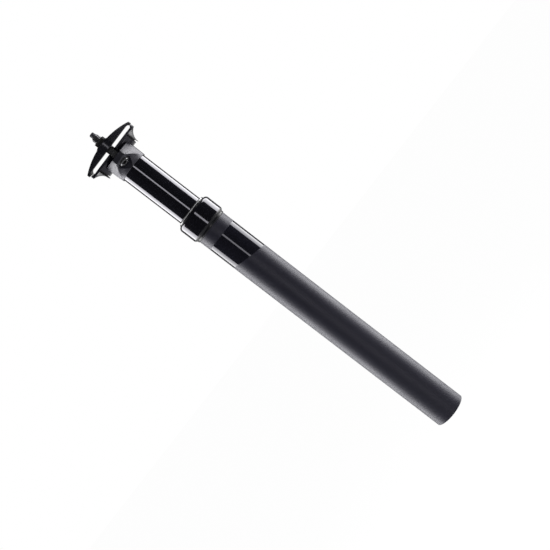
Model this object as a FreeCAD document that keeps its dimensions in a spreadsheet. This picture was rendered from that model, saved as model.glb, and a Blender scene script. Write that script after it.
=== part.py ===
import FreeCAD, Part
import math
import os
import types

import Sketcher

os.makedirs("parts", exist_ok=True)
Vector = FreeCAD.Vector
doc = FreeCAD.newDocument("dropper_seatpost")

# Driving dimensions, in millimetres and degrees. Z is the height above the lower tube's bottom end.
# Front is -Y, rear is +Y, and X runs across the saddle rails.
SIZES = {
    # Lower tube, the part that the frame clamps
    "tube_diameter": 30.9,
    "tube_wall": 1.6,
    "shoulder_height": 250.5,
    "thread_length": 11.5,
    "thread_step": 0.6,
    "keyway_bottom": 118.0,
    "keyway_top": 236.0,
    "keyway_gap": 0.1,
    "seat_wall": 1.3,
    "clip_groove_depth": 0.55,
    # Seal collar and what it holds
    "collar_diameter": 35.6,
    "collar_height": 20.3,
    "collar_lip_diameter": 32.2,
    "collar_lip_height": 2.0,
    "collar_lip_round": 1.0,
    "collar_lower_round": 2.9,
    "collar_shoulder": 3.2,
    "collar_crown_diameter": 30.4,
    "thread_gap": 0.05,
    "wiper_stand": 1.9,
    "wiper_depth": 6.0,
    "wiper_diameter": 28.6,
    "wiper_rim": 0.8,
    "bushing_length": 20.0,
    "bushing_flange": 1.0,
    "bushing_flange_width": 0.6,
    "running_gap": 0.05,
    "fit_gap": 0.02,
    # Upper tube, which slides
    "stanchion_diameter": 26.0,
    "stanchion_wall": 2.0,
    "stanchion_bottom": 165.0,
    "neck_height": 329.7,
    "slide_ring_bottom": 171.0,
    "slide_ring_length": 10.0,
    "slide_ring_seat": 0.6,
    "key_diameter": 2.5,
    "key_length": 18.0,
    "key_bottom": 186.0,
    "key_circle": 26.9,
    "key_count": 3,
    # Gas spring inside the sliding tube
    "cylinder_diameter": 21.4,
    "cylinder_wall": 1.0,
    "cylinder_bottom": 168.4,
    "cylinder_top_gap": 0.3,
    "guide_length": 11.6,
    "plug_length": 8.4,
    "rod_diameter": 8.0,
    "rod_stub_diameter": 5.0,
    "rod_bore": 3.2,
    "bumper_length": 2.7,
    "bumper_diameter": 14.0,
    "piston_length": 10.0,
    "piston_gap": 0.05,
    "ring_section": 1.6,
    "clip_thickness": 1.2,
    "clip_width": 1.9,
    "clip_gap_width": 6.0,
    "pin_diameter": 2.8,
    "valve_diameter": 6.0,
    "valve_height": 2.5,
    # Cable release in the foot of the lower tube
    "foot_clip_height": 1.7,
    "foot_clip_width": 1.9,
    "release_height": 27.1,
    "release_floor": 6.1,
    "release_web": 8.0,
    "release_slot": 6.4,
    "window_diameter": 8.0,
    "lever_thickness": 5.6,
    "lever_pivot_offset": 3.5,
    "lever_pivot_drop": 5.0,
    "lever_pin_diameter": 3.0,
    "lever_pin_length": 24.0,
    "lever_nose": 1.5,
    "lever_boss": 3.2,
    "cable_offset": 9.6,
    "cable_stop_bore": 5.1,
    "cable_stop_depth": 5.0,
    "cable_hole": 2.2,
    "cable_end_seat": 4.6,
    "cable_drop": 2.0,
    "lever_gap": 0.3,
    "rod_nut_flats": 13.0,
    "rod_nut_height": 5.0,
    # Head
    "neck_diameter": 27.5,
    "neck_angle": 66.0,
    "side_angle": 14.0,
    "spigot_length": 20.0,
    "spigot_wall": 2.95,
    "relief_depth": 2.3,
    "bell_low_height": 3.3,
    "bell_low_half_width": 11.0,
    "bell_low_reach": 11.0,
    "bell_low_round": 17.5,
    "bell_low_side": 6.5,
    "bell_middle_height": 5.5,
    "bell_middle_half_width": 9.4,
    "bell_middle_reach": 15.5,
    "bell_middle_round": 25.0,
    "bell_middle_side": 8.0,
    "bell_high_height": 7.8,
    "bell_high_half_width": 6.8,
    "bell_high_reach": 21.9,
    "bell_high_round": 29.0,
    "tower_height": 9.5,
    "tower_half_width": 5.15,
    "tower_reach": 24.0,
    "tower_round": 25.0,
    "tower_blank_height": 16.5,
    "tower_lean": 14.8,
    "tower_top_height": 14.0,
    "tower_slope": 7.6,
    "side_half_width": 13.65,
    "side_half_length": 9.0,
    "seat_axis_height": 22.3,
    "seat_gap": 0.1,
    "bolt_foot_reach": 18.4,
    "bolt_foot_height": 5.9,
    "counterbore": 12.2,
    "bolt_hole": 6.7,
    "bolt_swing": 1.9,
    # Saddle clamp, square to the saddle rails
    "rest_tilt": 8.5,
    "rail_diameter": 7.0,
    "rail_spacing": 44.0,
    "plate_thickness": 2.0,
    "cradle_edge": 1.26,
    "plate_corner": 1.2,
    "cradle_length": 30.0,
    "groove_depth": 0.75,
    "lip_height": 1.6,
    "cradle_radius": 11.0,
    "cheek_half_width": 17.4,
    "flange_inner": 18.5,
    "flange_outer": 19.15,
    "flange_radius": 12.0,
    "gap_radius": 9.2,
    "flare_start": 11.4,
    "flare_end": 2.2,
    "flare_round": 9.9,
    "notch_width": 8.4,
    "front_notch": 9.6,
    "rear_notch": 7.5,
    "notch_depth": 8.0,
    "clamp_edge": 1.56,
    "clamp_edge_round": 0.6,
    "clamp_length": 35.6,
    "clamp_gap": 3.1,
    "clamp_thickness": 6.5,
    "clamp_crown": 63.5,
    "tip_gap": 0.3,
    "tip_rise": 0.35,
    "nose_round": 12.0,
    "nose_half_width": 6.3,
    "rib_half_width": 4.6,
    "rib_foot_half_width": 6.5,
    "rib_height": 0.7,
    "rib_length": 31.0,
    "nut_setback": 10.0,
    "nut_height": 9.0,
    "nut_diameter": 9.0,
    "nut_width": 8.4,
    "nut_bore": 6.9,
    "slot_outward": 6.8,
    "slot_inward": 10.2,
    "slot_clearance": 0.35,
    # Clamp bolts and their domed washers
    "bolt_diameter": 6.0,
    "bolt_head_diameter": 8.0,
    "bolt_head_radius": 6.5,
    "washer_inner_radius": 6.6,
    "washer_outer_radius": 8.0,
    "washer_seat_gap": 0.1,
    "washer_diameter": 9.8,
    "washer_hole": 6.8,
    "washer_rim_height": 5.0,
    "bolt_face_height": 3.8,
    "socket_flats": 4.0,
    "socket_depth": 2.2,
    "front_bolt_length": 34.3,
    "rear_bolt_length": 38.6,
    "bolt_tip_length": 2.7,
    "bolt_tip_diameter": 4.5,
    "bolt_chamfer": 0.5,
}

sheet = doc.addObject("Spreadsheet::Sheet", "Sizes")
for row, (name, number) in enumerate(SIZES.items(), start=1):
    sheet.set(f"A{row}", name)
    sheet.set(f"B{row}", str(number))
    sheet.setAlias(f"B{row}", name)
doc.recompute()


class Size:
    """A dimension, held as its number and as the formula that ties it to the sheet."""

    def __init__(self, number, formula):
        self.number = float(number)
        self.formula = formula

    def __add__(self, other):
        other = as_size(other)
        return Size(self.number + other.number, f"({self.formula} + {other.formula})")

    def __sub__(self, other):
        other = as_size(other)
        return Size(self.number - other.number, f"({self.formula} - {other.formula})")

    def __mul__(self, other):
        other = as_size(other)
        return Size(self.number * other.number, f"({self.formula} * {other.formula})")

    def __truediv__(self, other):
        other = as_size(other)
        return Size(self.number / other.number, f"({self.formula} / {other.formula})")

    def __neg__(self):
        return Size(-self.number, f"(0 - {self.formula})")

    def sine(self):
        return Size(math.sin(math.radians(self.number)), f"sin({self.formula} * 1deg)")

    def cosine(self):
        return Size(math.cos(math.radians(self.number)), f"cos({self.formula} * 1deg)")

    def tangent(self):
        return self.sine() / self.cosine()

    def leg(self, other):
        """The other leg of a right triangle whose long side is this one."""
        number = math.sqrt(self.number**2 - other.number**2)
        return Size(number, f"sqrt({self.formula}^2 - {other.formula}^2)")


def as_size(value):
    return value if isinstance(value, Size) else Size(value, str(value))


def angle_of(across, along):
    """The angle, in degrees, whose tangent is across over along."""
    number = math.degrees(math.atan2(across.number, along.number))
    return Size(number, f"(atan2({across.formula}; {along.formula}) / 1deg)")


s = types.SimpleNamespace(**{name: Size(number, f"Sizes.{name}") for name, number in SIZES.items()})
ZERO = Size(0, "0")

# Radii and heights that several pieces share
tube_radius = s.tube_diameter / 2
bore_radius = tube_radius - s.tube_wall
seat_radius = tube_radius - s.seat_wall
thread_radius = tube_radius - s.thread_step
tube_top = s.shoulder_height + s.thread_length
stanchion_radius = s.stanchion_diameter / 2
stanchion_bore = stanchion_radius - s.stanchion_wall
collar_top = s.shoulder_height + s.collar_height
wiper_top = collar_top + s.wiper_stand
wiper_bottom = collar_top - s.wiper_depth
cylinder_radius = s.cylinder_diameter / 2
cylinder_bore = cylinder_radius - s.cylinder_wall
guide_top = s.cylinder_bottom + s.guide_length
bumper_top = guide_top + s.bumper_length
piston_bottom = bumper_top + s.lever_gap
piston_top = piston_bottom + s.piston_length
rod_radius = s.rod_diameter / 2
foot_clip_top = s.foot_clip_height + s.clip_thickness + s.running_gap * 2
release_top = foot_clip_top + s.release_height
lever_floor = foot_clip_top + s.release_floor
lever_roof = release_top - s.release_web
lever_pivot = lever_roof - s.lever_pivot_drop
nose_top = lever_pivot + s.lever_nose + s.pin_diameter / 4
pin_bottom = nose_top + s.lever_gap
seat_height = s.neck_height + s.seat_axis_height


def plane_of(body, role):
    """One of the body's own origin planes."""
    return [feature for feature in body.Origin.OriginFeatures if feature.Role == role][0]


def new_body(label):
    body = doc.addObject("PartDesign::Body", label)
    body.Label = label
    return body


def new_sketch(body, name, role, base=None, tilt=None):
    """A sketch on an origin plane, moved by base along the plane's axes and its normal.

    A tilt is an axis in the plane's own frame and an angle about it.
    """
    sketch = body.newObject("Sketcher::SketchObject", name)
    sketch.AttachmentSupport = [(plane_of(body, role), "")]
    sketch.MapMode = "FlatFace"
    if tilt:
        axis, angle = tilt
        sketch.AttachmentOffset = FreeCAD.Placement(Vector(), FreeCAD.Rotation(axis, angle.number))
        sketch.setExpression("AttachmentOffset.Rotation.Angle", angle.formula)
    for letter, value in zip("xyz", base or ()):
        if value is not ZERO:
            sketch.setExpression(f"AttachmentOffset.Base.{letter}", value.formula)
    return sketch


def bind(sketch, kind, value, *where):
    index = sketch.addConstraint(Sketcher.Constraint(kind, *where, value.number))
    sketch.setExpression(f"Constraints[{index}]", value.formula)


def pin_point(sketch, edge, end, x, y):
    """Holds one end of an edge at x, y from the sketch's origin."""
    if x is ZERO:
        sketch.addConstraint(Sketcher.Constraint("PointOnObject", edge, end, -2))
    else:
        bind(sketch, "DistanceX", x, -1, 1, edge, end)
    if y is ZERO:
        sketch.addConstraint(Sketcher.Constraint("PointOnObject", edge, end, -1))
    else:
        bind(sketch, "DistanceY", y, -1, 1, edge, end)


def arc_between(start, stop, radius, turn):
    """The arc of under half a circle from start to stop, turning left or right."""
    middle = (start + stop) * 0.5
    chord = stop - start
    height = math.sqrt(max(radius**2 - (chord.Length / 2) ** 2, 0.0))
    side = Vector(-chord.y, chord.x, 0).normalize()
    centre = middle + side * (height if turn == "left" else -height)
    first, last = (start, stop) if turn == "left" else (stop, start)
    from_angle = math.atan2(first.y - centre.y, first.x - centre.x)
    to_angle = math.atan2(last.y - centre.y, last.x - centre.x)
    if to_angle <= from_angle:
        to_angle += 2 * math.pi
    return Part.ArcOfCircle(Part.Circle(centre, Vector(0, 0, 1), radius), from_angle, to_angle)


def outline(sketch, corners):
    """Draws a closed outline. A corner is (x, y), or (x, y, radius, turn) where an arc leaves it."""
    offset = sketch.GeometryCount
    ends = []
    for index, corner in enumerate(corners):
        following = corners[(index + 1) % len(corners)]
        start = Vector(corner[0].number, corner[1].number, 0)
        stop = Vector(following[0].number, following[1].number, 0)
        if len(corner) == 2:
            sketch.addGeometry(Part.LineSegment(start, stop), False)
            ends.append((1, 2))
        else:
            sketch.addGeometry(arc_between(start, stop, corner[2].number, corner[3]), False)
            ends.append((1, 2) if corner[3] == "left" else (2, 1))
    for index, corner in enumerate(corners):
        before = (index - 1) % len(corners)
        here = (offset + index, ends[index][0])
        sketch.addConstraint(Sketcher.Constraint("Coincident", offset + before, ends[before][1], *here))
        pin_point(sketch, *here, corner[0], corner[1])
        if len(corner) > 2:
            bind(sketch, "Radius", corner[2], offset + index)


def circle(sketch, x, y, radius):
    centre = Vector(x.number, y.number, 0)
    index = sketch.addGeometry(Part.Circle(centre, Vector(0, 0, 1), radius.number), False)
    pin_point(sketch, index, 3, x, y)
    bind(sketch, "Radius", radius, index)


def hexagon(sketch, flats):
    """A hexagon about the sketch's origin, given by the distance across its flats."""
    radius = flats / math.sqrt(3)
    corners = []
    for step in range(6):
        turn = math.radians(60 * step)
        corners.append((radius * round(math.cos(turn), 9), radius * round(math.sin(turn), 9)))
    corners = [(x, ZERO if step % 3 == 0 else y) for step, (x, y) in enumerate(corners)]
    outline(sketch, corners)


def finish_feature(body, feature, grows):
    """Recomputes the body and makes sure that the feature added or took away material."""
    before = body.Shape.Volume if not body.Shape.isNull() else 0.0
    doc.recompute()
    change = body.Shape.Volume - before
    if (change > 1e-6) != grows or abs(change) <= 1e-6:
        raise RuntimeError(f"{body.Label}: {feature.Name} changed the volume by {change:.4f}")
    return feature


def revolve(body, name, sketch, angle=360.0, axis="V_Axis", symmetric=False, cut=False):
    kind = "PartDesign::Groove" if cut else "PartDesign::Revolution"
    feature = body.newObject(kind, name)
    feature.Profile = sketch
    feature.ReferenceAxis = (sketch, [axis])
    feature.Angle = angle
    feature.Midplane = symmetric
    return finish_feature(body, feature, not cut)


def pad(body, name, sketch, length, symmetric=False, reverse=False):
    feature = body.newObject("PartDesign::Pad", name)
    feature.Profile = sketch
    feature.setExpression("Length", length.formula)
    feature.Midplane = symmetric
    feature.Reversed = reverse
    return finish_feature(body, feature, True)


def pocket(body, name, sketch, length, symmetric=False, reverse=False):
    feature = body.newObject("PartDesign::Pocket", name)
    feature.Profile = sketch
    feature.setExpression("Length", length.formula)
    feature.Midplane = symmetric
    feature.Reversed = reverse
    return finish_feature(body, feature, False)


def around(body, name, features, count):
    """Repeats cuts evenly about the body's Z axis."""
    pattern = body.newObject("PartDesign::PolarPattern", name)
    pattern.Originals = features
    axis = [feature for feature in body.Origin.OriginFeatures if feature.Role == "Z_Axis"][0]
    pattern.Axis = (axis, [""])
    pattern.Angle = 360
    pattern.setExpression("Occurrences", count.formula)
    body.Tip = pattern
    return finish_feature(body, pattern, False)


def soften(body, name, kind, size, wanted):
    """Fillets or chamfers every edge of the tip for which wanted(edge) is true."""
    tip = body.Tip
    names = [f"Edge{i}" for i, edge in enumerate(tip.Shape.Edges, start=1) if wanted(edge)]
    if not names:
        raise RuntimeError(f"{body.Label}: no edge for {name}")
    feature = body.newObject(f"PartDesign::{kind}", name)
    feature.Base = (tip, names)
    feature.setExpression("Radius" if kind == "Fillet" else "Size", size.formula)
    doc.recompute()
    return feature


def ring(label, inner, outer, bottom, top):
    """A plain turned ring or tube about the post's axis."""
    body = new_body(label)
    sketch = new_sketch(body, f"{label}_section", "XZ_Plane")
    outline(sketch, [(inner, bottom), (outer, bottom), (outer, top), (inner, top)])
    revolve(body, f"{label}_turned", sketch)
    return body


def turned(label, corners):
    """A body turned about its own Z axis from an outline of radius and height."""
    body = new_body(label)
    sketch = new_sketch(body, f"{label}_section", "XZ_Plane")
    outline(sketch, corners)
    revolve(body, f"{label}_turned", sketch)
    return body


def place(body, x, y, z, axis=None, angle=None):
    """Puts a body's own origin at x, y, z and turns it by a positive angle about axis."""
    if axis:
        body.Placement = FreeCAD.Placement(Vector(), FreeCAD.Rotation(axis, angle.number))
        body.setExpression("Placement.Rotation.Angle", angle.formula)
    for letter, value in zip("xyz", (x, y, z)):
        if value is not ZERO:
            body.setExpression(f"Placement.Base.{letter}", value.formula)


# Lower tube: drawn aluminium tube, its top end reduced and threaded for the collar, its bottom end
# bored out for the cable release, with three keyways down its inner wall
groove_low = s.foot_clip_height
groove_radius = seat_radius + s.clip_groove_depth
lower_tube = turned(
    "lower_tube",
    [
        (seat_radius, ZERO),
        (tube_radius, ZERO),
        (tube_radius, s.shoulder_height),
        (thread_radius, s.shoulder_height),
        (thread_radius, tube_top),
        (bore_radius, tube_top),
        (bore_radius, release_top),
        (seat_radius, release_top),
        (seat_radius, foot_clip_top),
        (groove_radius, foot_clip_top),
        (groove_radius, groove_low),
        (seat_radius, groove_low),
    ],
)
key_radius = s.key_diameter / 2
key_reach = s.key_circle / 2
keyway = new_sketch(lower_tube, "keyway", "XY_Plane", (ZERO, ZERO, s.keyway_bottom))
circle(keyway, key_reach, ZERO, key_radius + s.keyway_gap)
keyway_cut = pocket(lower_tube, "keyway_cut", keyway, s.keyway_top - s.keyway_bottom, reverse=True)
around(lower_tube, "keyways", [keyway_cut], s.key_count)

# Seal collar: turned nut screwed onto the tube, with a lip at its foot and a rounded crown
collar_radius = s.collar_diameter / 2
lip_radius = s.collar_lip_diameter / 2
crown_radius = s.collar_crown_diameter / 2
collar_bore = thread_radius + s.thread_gap
wiper_radius = s.wiper_diameter / 2
lip_top = s.shoulder_height + s.collar_lip_height
shoulder_low = collar_top - s.collar_shoulder
seal_collar = turned(
    "seal_collar",
    [
        (collar_bore, s.shoulder_height),
        (lip_radius - s.collar_lip_round, s.shoulder_height, s.collar_lip_round, "left"),
        (lip_radius, s.shoulder_height + s.collar_lip_round),
        (lip_radius, lip_top, s.collar_lower_round, "left"),
        (collar_radius, lip_top + s.collar_lower_round),
        (collar_radius, shoulder_low, s.collar_shoulder, "left"),
        (crown_radius, collar_top),
        (wiper_radius + s.fit_gap, collar_top),
        (wiper_radius + s.fit_gap, wiper_bottom),
        (stanchion_radius + s.running_gap * 4, wiper_bottom),
        (stanchion_radius + s.running_gap * 4, tube_top + s.bushing_flange),
        (collar_bore, tube_top + s.bushing_flange),
    ],
)

# Wiper: rubber ring pressed into the collar, whose thin lip sweeps the sliding tube clean
wiper_lip = stanchion_radius + s.running_gap
wiper_seal = turned(
    "wiper_seal",
    [
        (wiper_lip, wiper_bottom + s.running_gap),
        (wiper_radius, wiper_bottom + s.running_gap),
        (wiper_radius, collar_top + s.running_gap),
        (crown_radius - s.wiper_rim / 4, collar_top + s.running_gap),
        (crown_radius - s.wiper_rim / 4, wiper_top - s.wiper_rim, s.wiper_rim, "left"),
        (crown_radius - s.wiper_rim * 5 / 4, wiper_top),
        (crown_radius - s.wiper_rim * 2, wiper_top),
        (wiper_lip + s.wiper_rim / 2, wiper_top - s.wiper_rim * 2),
        (wiper_lip, wiper_top - s.wiper_rim),
        (wiper_lip, wiper_bottom + s.wiper_rim * 4),
        (wiper_lip + s.wiper_rim / 2, wiper_bottom + s.wiper_rim * 3),
        (wiper_lip, wiper_bottom + s.wiper_rim * 2),
    ],
)

# Upper bushing: flanged plain bearing that the sliding tube runs in
upper_bushing = turned(
    "upper_bushing",
    [
        (stanchion_radius + s.running_gap, tube_top - s.bushing_length),
        (bore_radius - s.fit_gap, tube_top - s.bushing_length),
        (bore_radius - s.fit_gap, tube_top),
        (bore_radius + s.bushing_flange_width, tube_top),
        (bore_radius + s.bushing_flange_width, tube_top + s.bushing_flange - s.fit_gap),
        (stanchion_radius + s.running_gap, tube_top + s.bushing_flange - s.fit_gap),
    ],
)

# Stanchion: the sliding tube, with a seat for the lower slide ring, three key seats and a clip groove
clip_groove = stanchion_bore + s.clip_groove_depth
slide_seat = stanchion_radius - s.slide_ring_seat
slide_top = s.slide_ring_bottom + s.slide_ring_length
stanchion_clip_low = s.cylinder_bottom - s.clip_thickness - s.running_gap * 2
stanchion = turned(
    "stanchion",
    [
        (stanchion_bore, s.stanchion_bottom),
        (stanchion_radius, s.stanchion_bottom),
        (stanchion_radius, s.slide_ring_bottom),
        (slide_seat, s.slide_ring_bottom),
        (slide_seat, slide_top),
        (stanchion_radius, slide_top),
        (stanchion_radius, s.neck_height),
        (stanchion_bore, s.neck_height),
        (stanchion_bore, s.cylinder_bottom),
        (clip_groove, s.cylinder_bottom),
        (clip_groove, stanchion_clip_low),
        (stanchion_bore, stanchion_clip_low),
    ],
)
key_seat = new_sketch(stanchion, "key_seat", "XY_Plane", (ZERO, ZERO, s.key_bottom))
circle(key_seat, key_reach, ZERO, key_radius + s.fit_gap)
key_seat_cut = pocket(stanchion, "key_seat_cut", key_seat, s.key_length, reverse=True)
around(stanchion, "key_seats", [key_seat_cut], s.key_count)

# Lower slide ring: plastic ring round the foot of the stanchion that runs in the tube's bore
ring(
    "lower_slide_ring",
    slide_seat + s.fit_gap,
    bore_radius - s.running_gap,
    s.slide_ring_bottom + s.fit_gap,
    slide_top - s.fit_gap,
)

# Guide keys: brass pins half in the stanchion and half in the keyways, which stop it from turning
guide_keys = new_body("guide_keys")
key_section = new_sketch(guide_keys, "key_section", "XY_Plane", (ZERO, ZERO, s.key_bottom + s.fit_gap))
for index in range(SIZES["key_count"]):
    turn = Size(360 * index / SIZES["key_count"], f"(360 * {index} / {s.key_count.formula})")
    circle(key_section, key_reach * turn.cosine(), key_reach * turn.sine() if index else ZERO, key_radius)
guide_keys.AllowCompound = True
pad(guide_keys, "keys", key_section, s.key_length - s.fit_gap * 2)

# Gas cylinder, its rod guide and its end plug
cylinder_top = s.neck_height - s.spigot_length - s.cylinder_top_gap
ring("gas_cylinder", cylinder_bore, cylinder_radius, s.cylinder_bottom, cylinder_top)
ring("cylinder_plug", ZERO, cylinder_bore - s.fit_gap, cylinder_top - s.plug_length, cylinder_top)
seal_low = guide_top - s.ring_section * 3
seal_high = seal_low + s.ring_section + s.fit_gap * 2
rod_clear = rod_radius + s.running_gap
seal_outer = rod_clear + s.ring_section
turned(
    "rod_guide",
    [
        (rod_clear, s.cylinder_bottom),
        (cylinder_bore - s.fit_gap, s.cylinder_bottom),
        (cylinder_bore - s.fit_gap, guide_top),
        (rod_clear, guide_top),
        (rod_clear, seal_high),
        (seal_outer + s.fit_gap, seal_high),
        (seal_outer + s.fit_gap, seal_low),
        (rod_clear, seal_low),
    ],
)
ring("rod_seal", rod_clear, seal_outer, seal_low + s.fit_gap, seal_high - s.fit_gap)
ring("top_out_bumper", rod_radius + s.running_gap * 4, s.bumper_diameter / 2, guide_top, bumper_top)


def spring_clip(label, outer, width, bottom):
    """A flat open ring that springs outwards into its groove, with a gap at the rear."""
    body = ring(label, outer - width, outer, bottom, bottom + s.clip_thickness)
    gap = new_sketch(body, f"{label}_gap", "XY_Plane", (ZERO, ZERO, bottom))
    half = s.clip_gap_width / 2
    far = outer + width
    outline(gap, [(-half, ZERO), (half, ZERO), (half, far), (-half, far)])
    pocket(body, f"{label}_gap_cut", gap, s.clip_thickness, reverse=True)
    return body


spring_clip(
    "cylinder_clip",
    clip_groove - s.running_gap,
    s.clip_width,
    s.cylinder_bottom - s.clip_thickness - s.running_gap,
)

# Piston rod: hollow rod screwed into the release body, with a stub that carries the piston
stub_radius = s.rod_stub_diameter / 2
rod_bore_radius = s.rod_bore / 2
turned(
    "piston_rod",
    [
        (rod_bore_radius, lever_roof),
        (rod_radius, lever_roof),
        (rod_radius, piston_bottom),
        (stub_radius, piston_bottom),
        (stub_radius, piston_top),
        (rod_bore_radius, piston_top),
    ],
)
piston_radius = cylinder_bore - s.piston_gap
piston_middle = (piston_bottom + piston_top) / 2
piston_groove = piston_radius - s.ring_section
turned(
    "piston",
    [
        (stub_radius + s.fit_gap, piston_bottom),
        (piston_radius, piston_bottom),
        (piston_radius, piston_middle - s.ring_section / 2),
        (piston_groove, piston_middle - s.ring_section / 2),
        (piston_groove, piston_middle + s.ring_section / 2),
        (piston_radius, piston_middle + s.ring_section / 2),
        (piston_radius, piston_top),
        (stub_radius + s.fit_gap, piston_top),
    ],
)
ring(
    "piston_ring",
    piston_groove + s.fit_gap,
    cylinder_bore - s.fit_gap,
    piston_middle - s.ring_section / 2 + s.fit_gap,
    piston_middle + s.ring_section / 2 - s.fit_gap,
)

# Release pin: long pin in the rod's bore whose mushroom head opens the gas spring's valve
pin_radius = s.pin_diameter / 2
valve_radius = s.valve_diameter / 2
valve_seat = piston_top + s.fit_gap
turned(
    "release_pin",
    [
        (ZERO, pin_bottom),
        (pin_radius / 2, pin_bottom),
        (pin_radius, pin_bottom + pin_radius / 2),
        (pin_radius, valve_seat),
        (valve_radius, valve_seat),
        (valve_radius, valve_seat + s.valve_height / 2),
        (pin_radius, valve_seat + s.valve_height),
        (ZERO, valve_seat + s.valve_height),
    ],
)

# Release body: turned and milled block in the foot of the tube that carries the rod and the lever,
# with the cable's stop bore in its floor
release_radius = seat_radius - s.running_gap
release_body = turned(
    "release_body",
    [
        (ZERO, foot_clip_top),
        (release_radius, foot_clip_top),
        (release_radius, release_top),
        (rod_radius + s.fit_gap, release_top),
        (rod_radius + s.fit_gap, lever_roof),
        (ZERO, lever_roof),
    ],
)
bay = new_sketch(release_body, "lever_bay", "XZ_Plane")
half_slot = s.release_slot / 2
bay_width = release_radius * 3
outline(
    bay,
    [
        (-half_slot, lever_floor),
        (half_slot, lever_floor),
        (half_slot, lever_roof),
        (-half_slot, lever_roof),
    ],
)
pocket(release_body, "lever_bay_cut", bay, bay_width, symmetric=True)
window = new_sketch(release_body, "window", "XY_Plane", (ZERO, ZERO, foot_clip_top))
circle(window, ZERO, ZERO, s.window_diameter / 2)
pocket(release_body, "window_cut", window, s.release_floor, reverse=True)
stop = new_sketch(release_body, "cable_stop", "XY_Plane", (ZERO, ZERO, foot_clip_top))
circle(stop, ZERO, s.cable_offset, s.cable_stop_bore / 2)
pocket(release_body, "cable_stop_cut", stop, s.cable_stop_depth, reverse=True)
wire_hole = new_sketch(release_body, "cable_hole", "XY_Plane", (ZERO, ZERO, foot_clip_top))
circle(wire_hole, ZERO, s.cable_offset, s.cable_hole / 2)
pocket(release_body, "cable_hole_cut", wire_hole, s.release_floor, reverse=True)
pivot_hole = new_sketch(release_body, "pivot_hole", "YZ_Plane")
circle(pivot_hole, s.lever_pivot_offset, lever_pivot, s.lever_pin_diameter / 2 + s.fit_gap)
pocket(release_body, "pivot_hole_cut", pivot_hole, bay_width, symmetric=True)

lever_pin = new_body("lever_pin")
lever_pin_section = new_sketch(lever_pin, "lever_pin_section", "YZ_Plane")
circle(lever_pin_section, s.lever_pivot_offset, lever_pivot, s.lever_pin_diameter / 2)
pad(lever_pin, "lever_pin_length", lever_pin_section, s.lever_pin_length, symmetric=True)

# Lever: the cable pulls its rear end down and its nose lifts the release pin
lever = new_body("release_lever")
lever_side = new_sketch(lever, "lever_side", "YZ_Plane")
nose_centre = nose_top - s.lever_nose
cable_end_height = lever_pivot - s.cable_drop
cable_end_radius = s.cable_end_seat / 2
boss_reach = s.cable_offset + s.lever_boss
outline(
    lever_side,
    [
        (ZERO - s.lever_nose, nose_centre - s.lever_nose),
        (s.lever_pivot_offset, lever_pivot - s.lever_boss),
        (s.cable_offset, cable_end_height - s.lever_boss, s.lever_boss, "left"),
        (boss_reach, cable_end_height),
        (s.cable_offset + cable_end_radius, cable_end_height, cable_end_radius, "right"),
        (s.cable_offset, cable_end_height - cable_end_radius, cable_end_radius, "right"),
        (s.cable_offset - cable_end_radius, cable_end_height),
        (s.cable_offset - cable_end_radius, lever_pivot + s.lever_nose),
        (s.lever_pivot_offset, lever_pivot + s.lever_boss * 0.8),
        (s.lever_nose, nose_centre, s.lever_nose, "left"),
        (ZERO, nose_top, s.lever_nose, "left"),
        (ZERO - s.lever_nose, nose_centre),
    ],
)
pad(lever, "lever_blank", lever_side, s.lever_thickness, symmetric=True)
lever_hole = new_sketch(lever, "lever_hole", "YZ_Plane")
circle(lever_hole, s.lever_pivot_offset, lever_pivot, s.lever_pin_diameter / 2 + s.running_gap)
pocket(lever, "lever_hole_cut", lever_hole, s.lever_thickness * 2, symmetric=True)
wire_slit = new_sketch(lever, "wire_slit", "XZ_Plane", (ZERO, ZERO, -boss_reach - s.lever_boss))
half_wire = s.cable_hole / 2
outline(
    wire_slit,
    [
        (-half_wire, cable_end_height - s.lever_boss * 1.5),
        (half_wire, cable_end_height - s.lever_boss * 1.5),
        (half_wire, lever_pivot + s.lever_boss),
        (-half_wire, lever_pivot + s.lever_boss),
    ],
)
pocket(lever, "wire_slit_cut", wire_slit, s.lever_boss * 2 + half_wire, reverse=True)

rod_nut_top = release_top + s.rod_nut_height
rod_nut = ring("rod_lock_nut", rod_radius + s.fit_gap, s.rod_nut_flats, release_top, rod_nut_top)
nut_outline = new_sketch(rod_nut, "rod_nut_flats", "XY_Plane", (ZERO, ZERO, release_top))
hexagon(nut_outline, s.rod_nut_flats)
circle(nut_outline, ZERO, ZERO, s.rod_nut_flats * 2)
pocket(rod_nut, "rod_nut_flats_cut", nut_outline, s.rod_nut_height, reverse=True)

spring_clip("foot_clip", groove_radius - s.running_gap, s.foot_clip_width, s.foot_clip_height + s.running_gap)

# Where each clamp bolt stands: from its foot in the head's tower up to its barrel nut
tilt_sine = s.rest_tilt.sine()
tilt_cosine = s.rest_tilt.cosine()
foot_height = s.neck_height + s.bolt_foot_height


class BoltLine:
    """The line of one clamp bolt. side is -1 at the front and 1 at the rear."""

    def __init__(self, side):
        self.side = side
        self.foot_y = s.bolt_foot_reach * side
        self.nut_y = s.nut_setback * side * tilt_cosine - s.nut_height * tilt_sine
        self.nut_z = seat_height + s.nut_setback * side * tilt_sine + s.nut_height * tilt_cosine
        self.lean = angle_of((self.foot_y - self.nut_y) * side, self.nut_z - foot_height)
        self.axis = Vector(side, 0, 0)
        self.pivot_y = self.foot_y + s.bolt_face_height * self.lean.sine() * side
        self.pivot_z = foot_height - s.bolt_face_height * self.lean.cosine()


bolt_lines = {"front": BoltLine(-1), "rear": BoltLine(1)}

# Head: forged in one with the neck. The round neck swells into a bell, then into a tower at the
# front and at the rear for the bolts, with a hollow seat across the top for the cradle
head = new_body("head")
neck_radius = s.neck_diameter / 2


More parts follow.
